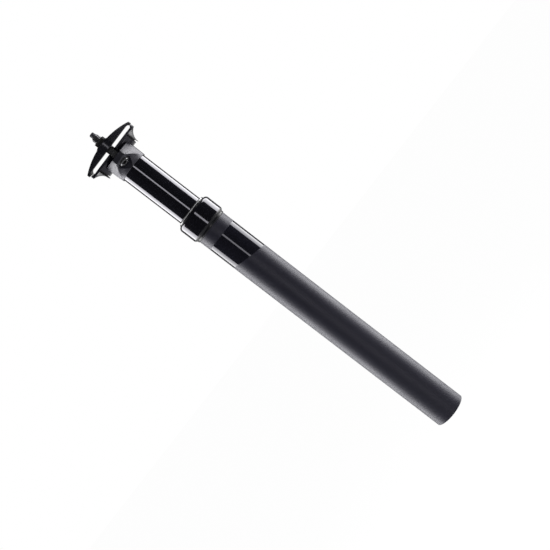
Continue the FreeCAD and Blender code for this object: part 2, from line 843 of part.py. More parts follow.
def head_section(name, height, front_x, front_y, side_x, side_y, rounds):
    """One level of the head: eight corners, joined by arcs of the three radii in rounds."""
    front, flank, side = rounds
    sketch = new_sketch(head, name, "XY_Plane", (ZERO, ZERO, s.neck_height + height))
    outline(
        sketch,
        [
            (-front_x, -front_y, front, "left"),
            (front_x, -front_y, flank, "left"),
            (side_x, -side_y, side, "left"),
            (side_x, side_y, flank, "left"),
            (front_x, front_y, front, "left"),
            (-front_x, front_y, flank, "left"),
            (-side_x, side_y, side, "left"),
            (-side_x, -side_y, flank, "left"),
        ],
    )
    return sketch


def loft(body, name, sections, ruled):
    feature = body.newObject("PartDesign::AdditiveLoft", name)
    feature.Profile = sections[0]
    feature.Sections = sections[1:]
    feature.Ruled = ruled
    return finish_feature(body, feature, True)


neck_rounds = (neck_radius, neck_radius, neck_radius)
bell_low_rounds = (s.bell_low_round, neck_radius * 2, neck_radius * 10)
bell_middle_rounds = (s.bell_middle_round, neck_radius * 5, neck_radius * 20)
bell_high_rounds = (s.bell_high_round, neck_radius * 10, neck_radius * 30)
tower_rounds = (s.tower_round, neck_radius * 12, neck_radius * 30)
neck_level = head_section(
    "neck_level",
    ZERO,
    neck_radius * s.neck_angle.sine(),
    neck_radius * s.neck_angle.cosine(),
    neck_radius * s.side_angle.cosine(),
    neck_radius * s.side_angle.sine(),
    neck_rounds,
)
bell_low = head_section(
    "bell_low",
    s.bell_low_height,
    s.bell_low_half_width,
    s.bell_low_reach,
    s.side_half_width,
    s.bell_low_side,
    bell_low_rounds,
)
bell_middle = head_section(
    "bell_middle",
    s.bell_middle_height,
    s.bell_middle_half_width,
    s.bell_middle_reach,
    s.side_half_width,
    s.bell_middle_side,
    bell_middle_rounds,
)
bell_high = head_section(
    "bell_high",
    s.bell_high_height,
    s.bell_high_half_width,
    s.bell_high_reach,
    s.side_half_width,
    s.side_half_length,
    bell_high_rounds,
)
tower_levels = []
for name in ("bell_top", "tower_foot"):
    level = head_section(
        name,
        s.tower_height,
        s.tower_half_width,
        s.tower_reach,
        s.side_half_width,
        s.side_half_length,
        tower_rounds,
    )
    tower_levels.append(level)
loft(head, "bell", [neck_level, bell_low, bell_middle, bell_high, tower_levels[0]], False)
tower_drop = (s.tower_blank_height - s.tower_height) * s.tower_lean.tangent()
tower_blank = head_section(
    "tower_blank",
    s.tower_blank_height,
    s.tower_half_width,
    s.tower_reach - tower_drop,
    s.side_half_width,
    s.side_half_length,
    tower_rounds,
)
loft(head, "towers", [tower_levels[1], tower_blank], True)

# The towers' tops slope down away from the cradle
slope_plan = new_sketch(head, "tower_slopes", "YZ_Plane")
slope_low = s.neck_height + s.tower_top_height
slope_high = slope_low + s.tower_reach * s.tower_slope.tangent()
above = s.neck_height + s.tower_blank_height * 2
outline(
    slope_plan,
    [
        (-s.tower_reach, slope_low),
        (ZERO, slope_high),
        (s.tower_reach, slope_low),
        (s.tower_reach * 2, slope_low),
        (s.tower_reach * 2, above),
        (-s.tower_reach * 2, above),
        (-s.tower_reach * 2, slope_low),
    ],
)
pocket(head, "tower_slopes_cut", slope_plan, s.rail_spacing, symmetric=True)

spigot_radius = stanchion_bore - s.running_gap
spigot_bottom = s.neck_height - s.spigot_length
relief_radius = spigot_radius - s.spigot_wall
spigot = new_sketch(head, "spigot_section", "XZ_Plane")
outline(
    spigot,
    [
        (ZERO, spigot_bottom),
        (spigot_radius, spigot_bottom),
        (spigot_radius, s.neck_height),
        (ZERO, s.neck_height),
    ],
)
revolve(head, "spigot", spigot)
relief = new_sketch(head, "relief_section", "XZ_Plane")
relief_top = s.neck_height + s.relief_depth
outline(
    relief,
    [
        (ZERO, spigot_bottom),
        (relief_radius, spigot_bottom),
        (relief_radius, s.neck_height),
        (ZERO, relief_top + s.relief_depth),
    ],
)
revolve(head, "relief", relief, cut=True)

seat = new_sketch(head, "cradle_seat", "YZ_Plane")
circle(seat, ZERO, seat_height, s.cradle_radius + s.seat_gap)
pocket(head, "cradle_seat_cut", seat, s.rail_spacing, symmetric=True)

bore_half = s.counterbore / 2
washer_seat = s.washer_outer_radius + s.washer_seat_gap
reach_below = s.tower_reach
for place_name, line in bolt_lines.items():
    base = (line.pivot_y, line.pivot_z, ZERO)
    spin = (Vector(0, 0, line.side), line.lean)
    bore = new_sketch(head, f"{place_name}_counterbore", "YZ_Plane", base, spin)
    outline(
        bore,
        [
            (ZERO, -reach_below),
            (bore_half, -reach_below),
            (bore_half, washer_seat.leg(bore_half), washer_seat, "left"),
            (ZERO, washer_seat),
        ],
    )
    revolve(head, f"{place_name}_counterbore_cut", bore, cut=True)
    hole_base = (ZERO, line.pivot_y, line.pivot_z)
    hole_spin = (line.axis, line.lean)
    hole = new_sketch(head, f"{place_name}_bolt_slot", "XY_Plane", hole_base, hole_spin)
    half_hole = s.bolt_hole / 2
    half_swing = s.bolt_swing / 2
    outline(
        hole,
        [
            (-half_hole, -half_swing, half_hole + 1e-6, "left"),
            (ZERO, -half_swing - half_hole, half_hole + 1e-6, "left"),
            (half_hole, -half_swing),
            (half_hole, half_swing, half_hole + 1e-6, "left"),
            (ZERO, half_swing + half_hole, half_hole + 1e-6, "left"),
            (-half_hole, half_swing),
        ],
    )
    pocket(head, f"{place_name}_bolt_slot_cut", hole, s.tower_reach, reverse=True)

# Domed washers, and the bolts whose domed heads turn in them
inner_edge = s.washer_hole / 2
outer_edge = s.washer_diameter / 2
rim_inner = s.washer_inner_radius.leg(s.washer_rim_height)
bolt_radius = s.bolt_diameter / 2
head_radius = s.bolt_head_diameter / 2
tip_radius = s.bolt_tip_diameter / 2
for place_name, line in bolt_lines.items():
    washer = turned(
        f"{place_name}_washer",
        [
            (inner_edge, s.washer_inner_radius.leg(inner_edge), s.washer_inner_radius, "right"),
            (rim_inner, s.washer_rim_height),
            (outer_edge, s.washer_rim_height),
            (outer_edge, s.washer_outer_radius.leg(outer_edge), s.washer_outer_radius, "left"),
            (inner_edge, s.washer_outer_radius.leg(inner_edge)),
        ],
    )
    place(washer, ZERO, line.pivot_y, line.pivot_z, line.axis, line.lean)
    length = s.front_bolt_length if place_name == "front" else s.rear_bolt_length
    bolt_top = s.bolt_face_height + length
    profile = [
        (ZERO, s.bolt_face_height),
        (head_radius - s.bolt_chamfer / 2, s.bolt_face_height),
        (head_radius, s.bolt_face_height + s.bolt_chamfer / 2),
        (head_radius, s.bolt_head_radius.leg(head_radius), s.bolt_head_radius, "left"),
        (bolt_radius, s.bolt_head_radius.leg(bolt_radius)),
        (bolt_radius, bolt_top - s.bolt_chamfer),
    ]
    if place_name == "front":
        profile += [(bolt_radius - s.bolt_chamfer, bolt_top), (ZERO, bolt_top)]
    else:
        dog_top = bolt_top + s.bolt_tip_length
        profile += [
            (tip_radius, bolt_top),
            (tip_radius, dog_top - s.bolt_chamfer),
            (tip_radius - s.bolt_chamfer, dog_top),
            (ZERO, dog_top),
        ]
    bolt = turned(f"{place_name}_bolt", profile)
    socket = new_sketch(bolt, f"{place_name}_socket", "XY_Plane", (ZERO, ZERO, s.bolt_face_height))
    hexagon(socket, s.socket_flats)
    pocket(bolt, f"{place_name}_socket_cut", socket, s.socket_depth, reverse=True)
    place(bolt, ZERO, line.pivot_y, line.pivot_z, line.axis, line.lean)
    barrel = new_body(f"{place_name}_barrel_nut")
    barrel_side = new_sketch(barrel, f"{place_name}_barrel", "YZ_Plane")
    circle(barrel_side, ZERO, ZERO, s.nut_diameter / 2)
    pad(barrel, f"{place_name}_barrel_length", barrel_side, s.nut_width, symmetric=True)
    nut_hole = new_sketch(barrel, f"{place_name}_nut_hole", "XY_Plane")
    circle(nut_hole, ZERO, ZERO, s.nut_bore / 2)
    pocket(barrel, f"{place_name}_nut_hole_cut", nut_hole, s.nut_diameter * 2, symmetric=True)
    place(barrel, ZERO, line.nut_y, line.nut_z, line.axis, line.lean)

# Cradle: forged lower half of the clamp. A thin plate grips the rails from below, a half cylinder
# under it turns in the head, and its ends flare out like a trumpet to the plate's tips
cradle = new_body("lower_cradle")
half_spacing = s.rail_spacing / 2
rail_radius = s.rail_diameter / 2
groove_axis = rail_radius - s.groove_depth
lip_top_height = s.lip_height - s.groove_depth
lip_x = half_spacing + rail_radius.leg(rail_radius - s.lip_height)
groove_x = half_spacing - rail_radius.leg(groove_axis)
cradle_half = lip_x + s.cradle_edge
plate = new_sketch(cradle, "plate_section", "XZ_Plane")
outline(
    plate,
    [
        (-cradle_half, -s.plate_thickness),
        (cradle_half, -s.plate_thickness),
        (cradle_half, lip_top_height),
        (lip_x, lip_top_height, rail_radius, "right"),
        (groove_x, ZERO),
        (-groove_x, ZERO, rail_radius, "right"),
        (-lip_x, lip_top_height),
        (-cradle_half, lip_top_height),
    ],
)
pad(cradle, "plate", plate, s.cradle_length, symmetric=True)
under = new_sketch(cradle, "underside_section", "XZ_Plane")
flange_rim = (s.flange_outer - s.flange_inner) / 4
left_side = [
    (-cradle_half, ZERO),
    (-cradle_half, -s.flare_end, s.flare_round, "right"),
    (-s.flange_outer, -s.flare_start),
    (-s.flange_outer + flange_rim, -s.flange_radius),
    (-s.flange_inner, -s.flange_radius),
    (-s.flange_inner, -s.gap_radius),
    (-s.cheek_half_width, -s.gap_radius),
    (-s.cheek_half_width, -s.cradle_radius),
]
right_side = [
    (s.cheek_half_width, -s.cradle_radius),
    (s.cheek_half_width, -s.gap_radius),
    (s.flange_inner, -s.gap_radius),
    (s.flange_inner, -s.flange_radius),
    (s.flange_outer - flange_rim, -s.flange_radius),
    (s.flange_outer, -s.flare_start, s.flare_round, "right"),
    (cradle_half, -s.flare_end),
    (cradle_half, ZERO),
]
outline(under, left_side + right_side)
revolve(cradle, "underside", under, angle=180.0, axis="H_Axis", symmetric=True)
half_notch = s.notch_width / 2
for place_name, side, depth in (("front", -1, s.front_notch), ("rear", 1, s.rear_notch)):
    notch = new_sketch(cradle, f"{place_name}_notch", "XY_Plane", (ZERO, ZERO, -s.notch_depth))
    near = (depth + half_notch) * side
    far = s.cradle_length * side
    turn = "right" if side < 0 else "left"
    corners = [
        (-half_notch, near, half_notch + 1e-6, turn),
        (ZERO, depth * side, half_notch + 1e-6, turn),
        (half_notch, near),
        (half_notch, far),
        (-half_notch, far),
    ]
    outline(notch, corners)
    pocket(cradle, f"{place_name}_notch_cut", notch, s.notch_depth * 2, reverse=True)
soften(
    cradle,
    "plate_corners",
    "Fillet",
    s.plate_corner,
    lambda edge: edge.BoundBox.ZLength > 1
    and edge.BoundBox.XLength < 1e-6
    and edge.BoundBox.YLength < 1e-6
    and abs(abs(edge.CenterOfMass.x) - cradle_half.number) < 1e-6
    and abs(abs(edge.CenterOfMass.y) - s.cradle_length.number / 2) < 1e-6,
)
place(cradle, ZERO, ZERO, seat_height, Vector(1, 0, 0), s.rest_tilt)

# Upper clamp: a bow whose underside grips the rails from above, with a rib that seats the nuts
clamp = new_body("upper_clamp")
tip_height = lip_top_height + s.tip_gap
clamp_axis = s.clamp_gap - rail_radius
tip_x = half_spacing + rail_radius.leg(tip_height - clamp_axis)
clamp_half = tip_x + s.clamp_edge
crown_top = s.clamp_gap + s.clamp_thickness
crown_end = crown_top - (s.clamp_crown - s.clamp_crown.leg(clamp_half))
bow = new_sketch(clamp, "bow_section", "XZ_Plane")
outline(
    bow,
    [
        (-clamp_half, tip_height + s.tip_rise),
        (-tip_x, tip_height, rail_radius, "right"),
        (-half_spacing, s.clamp_gap),
        (half_spacing, s.clamp_gap, rail_radius, "right"),
        (tip_x, tip_height),
        (clamp_half, tip_height + s.tip_rise),
        (clamp_half, crown_end, s.clamp_crown, "left"),
        (-clamp_half, crown_end),
    ],
)
pad(clamp, "bow", bow, s.clamp_length, symmetric=True)
soften(
    clamp,
    "bow_edges",
    "Fillet",
    s.clamp_edge_round,
    lambda edge: edge.BoundBox.YLength < 1e-6
    and edge.BoundBox.XLength > s.rail_spacing.number
    and edge.CenterOfMass.z > s.clamp_gap.number + s.clamp_edge_round.number,
)
half_length = s.clamp_length / 2
nose = new_sketch(clamp, "nose_plan", "XY_Plane", (ZERO, ZERO, s.clamp_gap))
outline(
    nose,
    [
        (-s.nose_half_width, -half_length, s.nose_round, "left"),
        (s.nose_half_width, -half_length),
        (s.nose_half_width, half_length, s.nose_round, "left"),
        (-s.nose_half_width, half_length),
    ],
)
pad(clamp, "noses", nose, s.clamp_thickness - s.rib_height / 4)
rib = new_sketch(clamp, "rib_section", "XZ_Plane")
rib_top = crown_top + s.rib_height
outline(
    rib,
    [
        (-s.rib_foot_half_width, crown_top - s.rib_height),
        (s.rib_foot_half_width, crown_top - s.rib_height),
        (s.rib_foot_half_width, crown_top - s.rib_height / 4),
        (s.rib_half_width, rib_top),
        (-s.rib_half_width, rib_top),
        (-s.rib_foot_half_width, crown_top - s.rib_height / 4),
    ],
)
pad(clamp, "rib", rib, s.rib_length, symmetric=True)
for place_name, line in bolt_lines.items():
    trough = new_sketch(clamp, f"{place_name}_trough", "YZ_Plane")
    centre_y = s.nut_setback * line.side
    circle(trough, centre_y, s.nut_height, s.nut_diameter / 2 + s.seat_gap)
    pocket(clamp, f"{place_name}_trough_cut", trough, clamp_half * 2, symmetric=True)
    slot_lean = line.lean - s.rest_tilt * line.side
    slot = new_sketch(clamp, f"{place_name}_bolt_slot", "YZ_Plane")
    fall = s.nut_height - tip_height
    rest = bolt_radius + s.slot_clearance
    outer_lean = slot_lean + s.slot_outward
    inner_lean = slot_lean - s.slot_inward
    outer_y = (s.nut_setback + fall * outer_lean.tangent() + rest / outer_lean.cosine()) * line.side
    inner_y = (s.nut_setback + fall * inner_lean.tangent() - rest / inner_lean.cosine()) * line.side
    outer_top = (s.nut_setback + rest / outer_lean.cosine()) * line.side
    inner_top = (s.nut_setback - rest / inner_lean.cosine()) * line.side
    outline(
        slot,
        [
            (inner_y, tip_height),
            (outer_y, tip_height),
            (outer_top, s.nut_height),
            (inner_top, s.nut_height),
        ],
    )
    pocket(clamp, f"{place_name}_bolt_slot_cut", slot, s.bolt_hole, symmetric=True)
place(clamp, ZERO, ZERO, seat_height, Vector(1, 0, 0), s.rest_tilt)

doc.recompute()
bodies = [item for item in doc.Objects if item.TypeId == "PartDesign::Body"]
for item in doc.Objects:
    if "Invalid" in item.State or "Error" in item.State:
        raise RuntimeError(f"{item.Name} failed: {item.State}")
for body in bodies:
    if body.Shape.isNull() or not body.Shape.isValid():
        raise RuntimeError(f"{body.Label} has no valid shape")
for body in bodies:
    body.Shape.exportStep(f"parts/{body.Label}.step")
    print(body.Label, len(body.Shape.Solids), round(body.Shape.Volume, 1))
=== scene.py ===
import math

import bpy
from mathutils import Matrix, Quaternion, Vector


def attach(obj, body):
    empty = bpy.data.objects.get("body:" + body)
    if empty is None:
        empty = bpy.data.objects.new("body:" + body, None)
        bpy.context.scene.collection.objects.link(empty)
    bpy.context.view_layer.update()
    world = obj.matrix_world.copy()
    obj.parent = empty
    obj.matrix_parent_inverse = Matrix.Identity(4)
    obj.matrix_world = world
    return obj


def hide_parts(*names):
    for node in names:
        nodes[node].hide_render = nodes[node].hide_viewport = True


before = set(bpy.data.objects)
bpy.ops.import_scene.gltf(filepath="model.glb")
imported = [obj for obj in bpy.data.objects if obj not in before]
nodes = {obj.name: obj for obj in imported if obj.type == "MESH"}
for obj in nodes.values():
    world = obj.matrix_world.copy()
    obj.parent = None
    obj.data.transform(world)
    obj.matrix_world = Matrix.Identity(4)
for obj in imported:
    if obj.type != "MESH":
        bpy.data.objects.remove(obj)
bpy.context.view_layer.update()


# Lower tube: a drawn aluminium tube, blasted and anodised satin black. A band near its top is
# polished before anodising; its lower edge runs obliquely round the tube.
class Value:
    """A value inside a finish. Arithmetic on it adds the nodes that work it out."""

    def __init__(self, socket):
        self.socket = socket
        self.tree = socket.id_data

    def through(self, kind, settings, inputs, output=0):
        """Adds a node, sets it up, feeds it numbers or values and gives one of its outputs."""
        node = self.tree.nodes.new(kind)
        for name, setting in settings.items():
            setattr(node, name, setting)
        for name, given in inputs.items():
            if isinstance(given, Value):
                self.tree.links.new(given.socket, node.inputs[name])
            else:
                node.inputs[name].default_value = given
        return Value(node.outputs[output])

    def math(self, operation, *inputs):
        return self.through("ShaderNodeMath", {"operation": operation}, dict(enumerate(inputs)))

    def __add__(self, other):
        return self.math("ADD", self, other)

    def __radd__(self, other):
        return self.math("ADD", other, self)

    def __sub__(self, other):
        return self.math("SUBTRACT", self, other)

    def __rsub__(self, other):
        return self.math("SUBTRACT", other, self)

    def __mul__(self, other):
        return self.math("MULTIPLY", self, other)

    def __rmul__(self, other):
        return self.math("MULTIPLY", other, self)

    def __abs__(self):
        return self.math("ABSOLUTE", self)

    def part(self, letter):
        """The x, y or z of a place."""
        return self.through("ShaderNodeSeparateXYZ", {}, {0: self}, "XYZ".index(letter))

    def stretched(self, x, y, z):
        """A place with its axes scaled. Noise on it runs long where an axis is scaled down."""
        scales = {0: self, 1: (x, y, z)}
        return self.through("ShaderNodeVectorMath", {"operation": "MULTIPLY"}, scales)

    def noise(self, grain, detail=2.0, roughness=0.5):
        """Noise from 0 to 1 whose grain is this many metres across."""
        inputs = {"Vector": self, "Scale": 1 / grain, "Detail": detail, "Roughness": roughness}
        return self.through("ShaderNodeTexNoise", {}, inputs)

    def ramp(self, low, high, start=0.0, end=1.0):
        """Goes smoothly from start to end while the value goes from low to high."""
        inputs = {"Value": self, "From Min": low, "From Max": high, "To Min": start, "To Max": end}
        return self.through("ShaderNodeMapRange", {"interpolation_type": "SMOOTHSTEP"}, inputs)

    def spread(self, start, end):
        """Goes from start to end over the middle of a noise, where most of it lies."""
        return self.ramp(0.3, 0.7, start, end)

    def between(self, low, high):
        """The colour from low to high while the value goes from 0 to 1."""
        return self.through("ShaderNodeMix", {"data_type": "RGBA"}, {0: self, 6: low, 7: high}, 2)

    def bump(self, microns, edge=0.0):
        """The surface normal for this height, microns deep, over edges rounded by edge metres."""
        inputs = {"Height": self, "Distance": microns * 0.000001}
        if edge:
            inputs["Normal"] = self.through("ShaderNodeBevel", {"samples": 6}, {"Radius": edge})
        return self.through("ShaderNodeBump", {}, inputs)


class Finish:
    """A material with its shader. place is the point on the object, in metres."""

    def __init__(self, name, constants):
        self.material = bpy.data.materials.new(name)
        self.material.use_nodes = True
        tree = self.material.node_tree
        self.shader = tree.nodes["Principled BSDF"]
        for socket, amount in constants.items():
            self.shader.inputs[socket].default_value = amount
        self.place = Value(tree.nodes.new("ShaderNodeTexCoord").outputs["Object"])

    def feed(self, socket, value):
        value.tree.links.new(value.socket, self.shader.inputs[socket])

    def put_on(self, *names):
        for name in names:
            for slot in nodes[name].material_slots:
                slot.material = self.material


def grey(level, red=1.0, blue=1.0):
    return (level * red, level, level * blue, 1.0)


def black_sheen(ior):
    """Shader constants for black anodising and black oxide, which reflect slightly violet."""
    return {"IOR": ior, "Specular Tint": (0.92, 0.9, 1.0, 1.0)}


BAND_TOP = 0.2402
BAND_FOOT = 0.2121
BAND_SLOPE = 0.269
BORDER = 0.0001
BAND_POLISH = 0.07
BAND_DYE = grey(0.0045, blue=1.5)
TUBE_DYE_DARK = grey(0.004, blue=2.1)
TUBE_DYE_PALE = grey(0.0065, blue=2.1)
tube_finish = Finish("satin_black_tube", black_sheen(1.335))
place = tube_finish.place
height = place.part("Z")
above_foot = (height + place.part("X") * BAND_SLOPE - BAND_FOOT).ramp(-BORDER, BORDER)
band = above_foot * height.ramp(BAND_TOP - BORDER, BAND_TOP + BORDER, 1.0, 0.0)
blast = place.noise(grain=0.00022)
streaks = place.stretched(1.0, 1.0, 0.03).noise(grain=0.0006)
clouds = place.noise(grain=0.02)
satin = clouds.spread(0.485, 0.525) + streaks * 0.02
dye = (clouds * 0.5 + blast * 0.5).between(TUBE_DYE_DARK, TUBE_DYE_PALE)
tube_finish.feed("Base Color", band.between(dye, BAND_DYE))
tube_finish.feed("Roughness", band * BAND_POLISH + (1 - band) * satin)
tube_finish.feed("Normal", ((1 - band) * blast + streaks * 0.1).bump(microns=4.0))
tube_finish.put_on("lower_tube")


# Seal collar: turned aluminium nut, polished and anodised gloss black. Fine lathe lines stay
# on it, and the lip at its foot is left as it was turned, so it is darker and duller.
def add_dull_skin(finish, mask, ior):
    """Lets a duller shader show where mask is 1, and makes it the one that is fed from here on."""
    polished = Value(finish.shader.outputs[0])
    dull = mask.through("ShaderNodeBsdfPrincipled", {}, {"IOR": ior})
    both = mask.through("ShaderNodeMixShader", {}, {0: mask, 1: polished, 2: dull})
    mask.tree.links.new(both.socket, mask.tree.nodes["Material Output"].inputs["Surface"])
    finish.shader = dull.socket.node


LIP_TOP = 0.2547
LIP_FOOT = 0.2502
LIP_FADE = 0.0003
COLLAR_DYE_DARK = grey(0.0025, blue=1.4)
COLLAR_DYE_PALE = grey(0.0035, blue=1.4)
collar_finish = Finish("gloss_black_collar", black_sheen(1.45))
place = collar_finish.place
turning = place.stretched(0.02, 0.02, 1.0).noise(grain=0.0002)
smudges = place.noise(grain=0.006, detail=3.0)
dye = smudges.between(COLLAR_DYE_DARK, COLLAR_DYE_PALE)
collar_finish.feed("Base Color", dye)
collar_finish.feed("Roughness", smudges.ramp(0.35, 0.75, 0.055, 0.095) + turning * 0.02)
collar_finish.feed("Normal", turning.bump(microns=1.0))
height = place.part("Z")
below_lip_top = height.ramp(LIP_TOP - LIP_FADE, LIP_TOP, 1.0, 0.0)
above_lip_foot = height.ramp(LIP_FOOT - BORDER, LIP_FOOT + BORDER)
add_dull_skin(collar_finish, below_lip_top * above_lip_foot, ior=1.24)
collar_finish.feed("Base Color", dye)
collar_finish.feed("Roughness", turning * 0.1 + 0.26)
collar_finish.feed("Normal", turning.bump(microns=2.0))
collar_finish.put_on("seal_collar")


# Wiper seal: moulded rubber ring pressed into the collar, with a thin lip that hugs the sliding
# tube. A light grey band painted round the top edge of its flange, just above the collar, is a
# painted highlight along the rim.
WELD = 0.000001


def everything_off():
    """Leaves edit mode with nothing selected."""
    if bpy.context.object and bpy.context.object.mode == "EDIT":
        bpy.ops.object.mode_set(mode="OBJECT")
    bpy.ops.object.select_all(action="DESELECT")


def close_mesh():
    """Ends the edit of a mesh, with doubled points merged and all faces turned outwards."""
    bpy.ops.mesh.select_all(action="SELECT")
    bpy.ops.mesh.remove_doubles(threshold=WELD)
    bpy.ops.mesh.normals_make_consistent(inside=False)
    bpy.ops.object.mode_set(mode="OBJECT")


def turned_ring(name, outline, steps, sharp_angle):
    """A ring turned round the upright axis from a closed outline of radius and height."""
    # A small plane is merged into one point, and the outline is drawn from that.
    everything_off()
    radius, height = outline[0]
    bpy.ops.mesh.primitive_plane_add(size=0.001, location=(radius, 0.0, height))
    ring = bpy.context.object
    ring.name = name
    bpy.ops.object.transform_apply()
    bpy.ops.object.mode_set(mode="EDIT")
    bpy.ops.mesh.select_mode(type="VERT")
    bpy.ops.mesh.select_all(action="SELECT")
    bpy.ops.mesh.merge(type="CENTER")
    for next_radius, next_height in outline[1:]:
        step = (next_radius - radius, 0.0, next_height - height)
        bpy.ops.mesh.extrude_region_move(TRANSFORM_OT_translate={"value": step})
        radius, height = next_radius, next_height
    bpy.ops.mesh.select_all(action="SELECT")
    bpy.ops.mesh.edge_face_add()
    bpy.ops.mesh.delete(type="ONLY_FACE")
    bpy.ops.mesh.select_all(action="SELECT")
    bpy.ops.mesh.spin(steps=steps, angle=math.tau, center=(0.0, 0.0, 0.0), axis=(0.0, 0.0, 1.0))
    close_mesh()
    bpy.ops.object.shade_smooth_by_angle(angle=sharp_angle)
    return ring


def off_axis(place):
    """How far a place lies from its upright axis."""
    flat = place.stretched(1.0, 1.0, 0.0)
    return flat.through("ShaderNodeVectorMath", {"operation": "LENGTH"}, {0: flat}, 1)


WIPER_FOOT = 0.26485
WIPER_BORE = 0.01305
WIPER_BODY = 0.0143
FLANGE_RADIUS = 0.015
FLANGE_FOOT = 0.27085
FLANGE_TOP = 0.2721
FLANGE_ROUNDING = 0.0002
RIM_BEVEL = 0.00025
RIM_MIDDLE = 0.0001
LIP_ROOT = 0.0139
LIP_FILLET = 0.01375
LIP_FILLET_RISE = 0.00006
LIP_WAIST = 0.0136
LIP_WAIST_RISE = 0.0002
LIP_SIDE = 0.0134
LIP_SIDE_RISE = 0.00055
LIP_CREST = 0.01332
LIP_CREST_RISE = 0.0006
LIP_INSIDE = 0.0132
OIL_GROOVE_RADIUS = 0.01345
OIL_GROOVE_TOP = 0.268
OIL_GROOVE_MIDDLE = 0.2672
OIL_GROOVE_FOOT = 0.2664
# The band of painted highlight round the flange's rim starts at this radius and this height.
RIM_HIGHLIGHT_INNER = 0.0142
RIM_HIGHLIGHT_FOOT = 0.2713
wiper_body = [
    (WIPER_BORE, WIPER_FOOT),
    (WIPER_BODY, WIPER_FOOT),
    (WIPER_BODY, FLANGE_FOOT),
]
wiper_flange = [
    (FLANGE_RADIUS - FLANGE_ROUNDING, FLANGE_FOOT),
    (FLANGE_RADIUS, FLANGE_FOOT + FLANGE_ROUNDING),
    (FLANGE_RADIUS, FLANGE_TOP - RIM_BEVEL),
    (FLANGE_RADIUS - RIM_MIDDLE, FLANGE_TOP - RIM_MIDDLE),
    (FLANGE_RADIUS - RIM_BEVEL, FLANGE_TOP),
]
wiper_lip = [
    (LIP_ROOT, FLANGE_TOP),
    (LIP_FILLET, FLANGE_TOP + LIP_FILLET_RISE),
    (LIP_WAIST, FLANGE_TOP + LIP_WAIST_RISE),
    (LIP_SIDE, FLANGE_TOP + LIP_SIDE_RISE),
    (LIP_CREST, FLANGE_TOP + LIP_CREST_RISE),
    (LIP_INSIDE, FLANGE_TOP + LIP_SIDE_RISE),
]
wiper_inside = [
    (WIPER_BORE, FLANGE_TOP),
    (WIPER_BORE, OIL_GROOVE_TOP),
    (OIL_GROOVE_RADIUS, OIL_GROOVE_MIDDLE),
    (WIPER_BORE, OIL_GROOVE_FOOT),
]
wiper = turned_ring(
    "dust_wiper",
    wiper_body + wiper_flange + wiper_lip + wiper_inside,
    steps=144,
    sharp_angle=math.radians(32.0),
)
wiper_finish = Finish("wiper_rubber", {"IOR": 1.5})
place = wiper_finish.place
height = place.part("Z")
skin = place.noise(grain=0.00025, detail=3.0, roughness=0.65)
bloom = place.noise(grain=0.004)
# Painted highlight: the flange's outer top edge is coloured light grey, standing in for the light
# its rounded rim catches.
outside = off_axis(place).ramp(RIM_HIGHLIGHT_INNER, RIM_HIGHLIGHT_INNER + BORDER)
above_foot = height.ramp(RIM_HIGHLIGHT_FOOT, RIM_HIGHLIGHT_FOOT + BORDER)
below_top = height.ramp(FLANGE_TOP - BORDER, FLANGE_TOP, 1.0, 0.0)
rubber = (skin * 0.4 + bloom * 0.6).between(grey(0.008), grey(0.016))
painted_rim_highlight = bloom.between(grey(0.17, blue=1.03), grey(0.23, blue=1.03))
wiper_finish.feed("Base Color", (outside * above_foot * below_top).between(rubber, painted_rim_highlight))
wiper_finish.feed("Roughness", bloom.spread(0.22, 0.3))
wiper_finish.feed("Normal", skin.bump(microns=3.0))
wiper.data.materials.append(wiper_finish.material)
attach(wiper, "lower_post")
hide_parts("wiper_seal")


# Upper bushing: split bearing sleeve of bronze-filled polymer, moulded and reamed to size. It
# sits in the top of the lower tube and guides the sliding tube.
BRONZE_DARK = (0.09, 0.055, 0.028, 1.0)
BRONZE_PALE = (0.26, 0.15, 0.07, 1.0)
bushing_finish = Finish("bearing_polymer", {"IOR": 1.45})
place = bushing_finish.place
specks = place.noise(grain=0.00018, roughness=0.7)
reaming = place.stretched(0.05, 0.05, 1.0).noise(grain=0.0003)
bushing_finish.feed("Base Color", specks.ramp(0.45, 0.7).between(BRONZE_DARK, BRONZE_PALE))
bushing_finish.feed("Roughness", reaming.spread(0.38, 0.52))
bushing_finish.feed("Normal", (reaming * 0.6 + specks * 0.4).bump(microns=6.0))
bushing_finish.put_on("upper_bushing")


# Stanchion: the sliding tube, ground, polished and hard anodised black. The hone leaves a very
# fine cross pattern, and the polish varies slightly along the tube.
STANCHION_DYE_DARK = grey(0.0028, blue=1.4)
STANCHION_DYE_PALE = grey(0.004, blue=1.4)
stanchion_finish = Finish("polished_black_tube", black_sheen(1.5))
place = stanchion_finish.place
hone = place.stretched(1.0, 1.0, 0.15).noise(grain=0.00025)
handling = place.noise(grain=0.012, detail=3.0)
stanchion_finish.feed("Base Color", handling.between(STANCHION_DYE_DARK, STANCHION_DYE_PALE))
stanchion_finish.feed("Roughness", handling.ramp(0.35, 0.7, 0.045, 0.075) + hone * 0.015)
stanchion_finish.feed("Normal", hone.bump(microns=0.8))
stanchion_finish.put_on("stanchion")


# Lower slide ring: split ring of natural, cream-coloured bearing polymer. It snaps into a groove
# near the foot of the sliding tube and runs in the lower tube's bore.
CREAM_DARK = (0.5, 0.44, 0.33, 1.0)
CREAM_PALE = (0.62, 0.56, 0.44, 1.0)
ring_finish = Finish("slide_ring_polymer", {"IOR": 1.5})
place = ring_finish.place
tint = place.noise(grain=0.005)
ring_finish.feed("Base Color", tint.between(CREAM_DARK, CREAM_PALE))
ring_finish.feed("Roughness", tint.spread(0.4, 0.5))
ring_finish.feed("Normal", place.noise(grain=0.0004).bump(microns=8.0))
ring_finish.put_on("lower_slide_ring")


# Guide keys: three ground brass pins, each in its seat on the sliding tube. They slide in the
# lower tube's keyways and stop the post turning.
LATHE_MARKS = (0.04, 0.04, 1.0)
LONG_MARKS = (1.0, 1.0, 0.05)


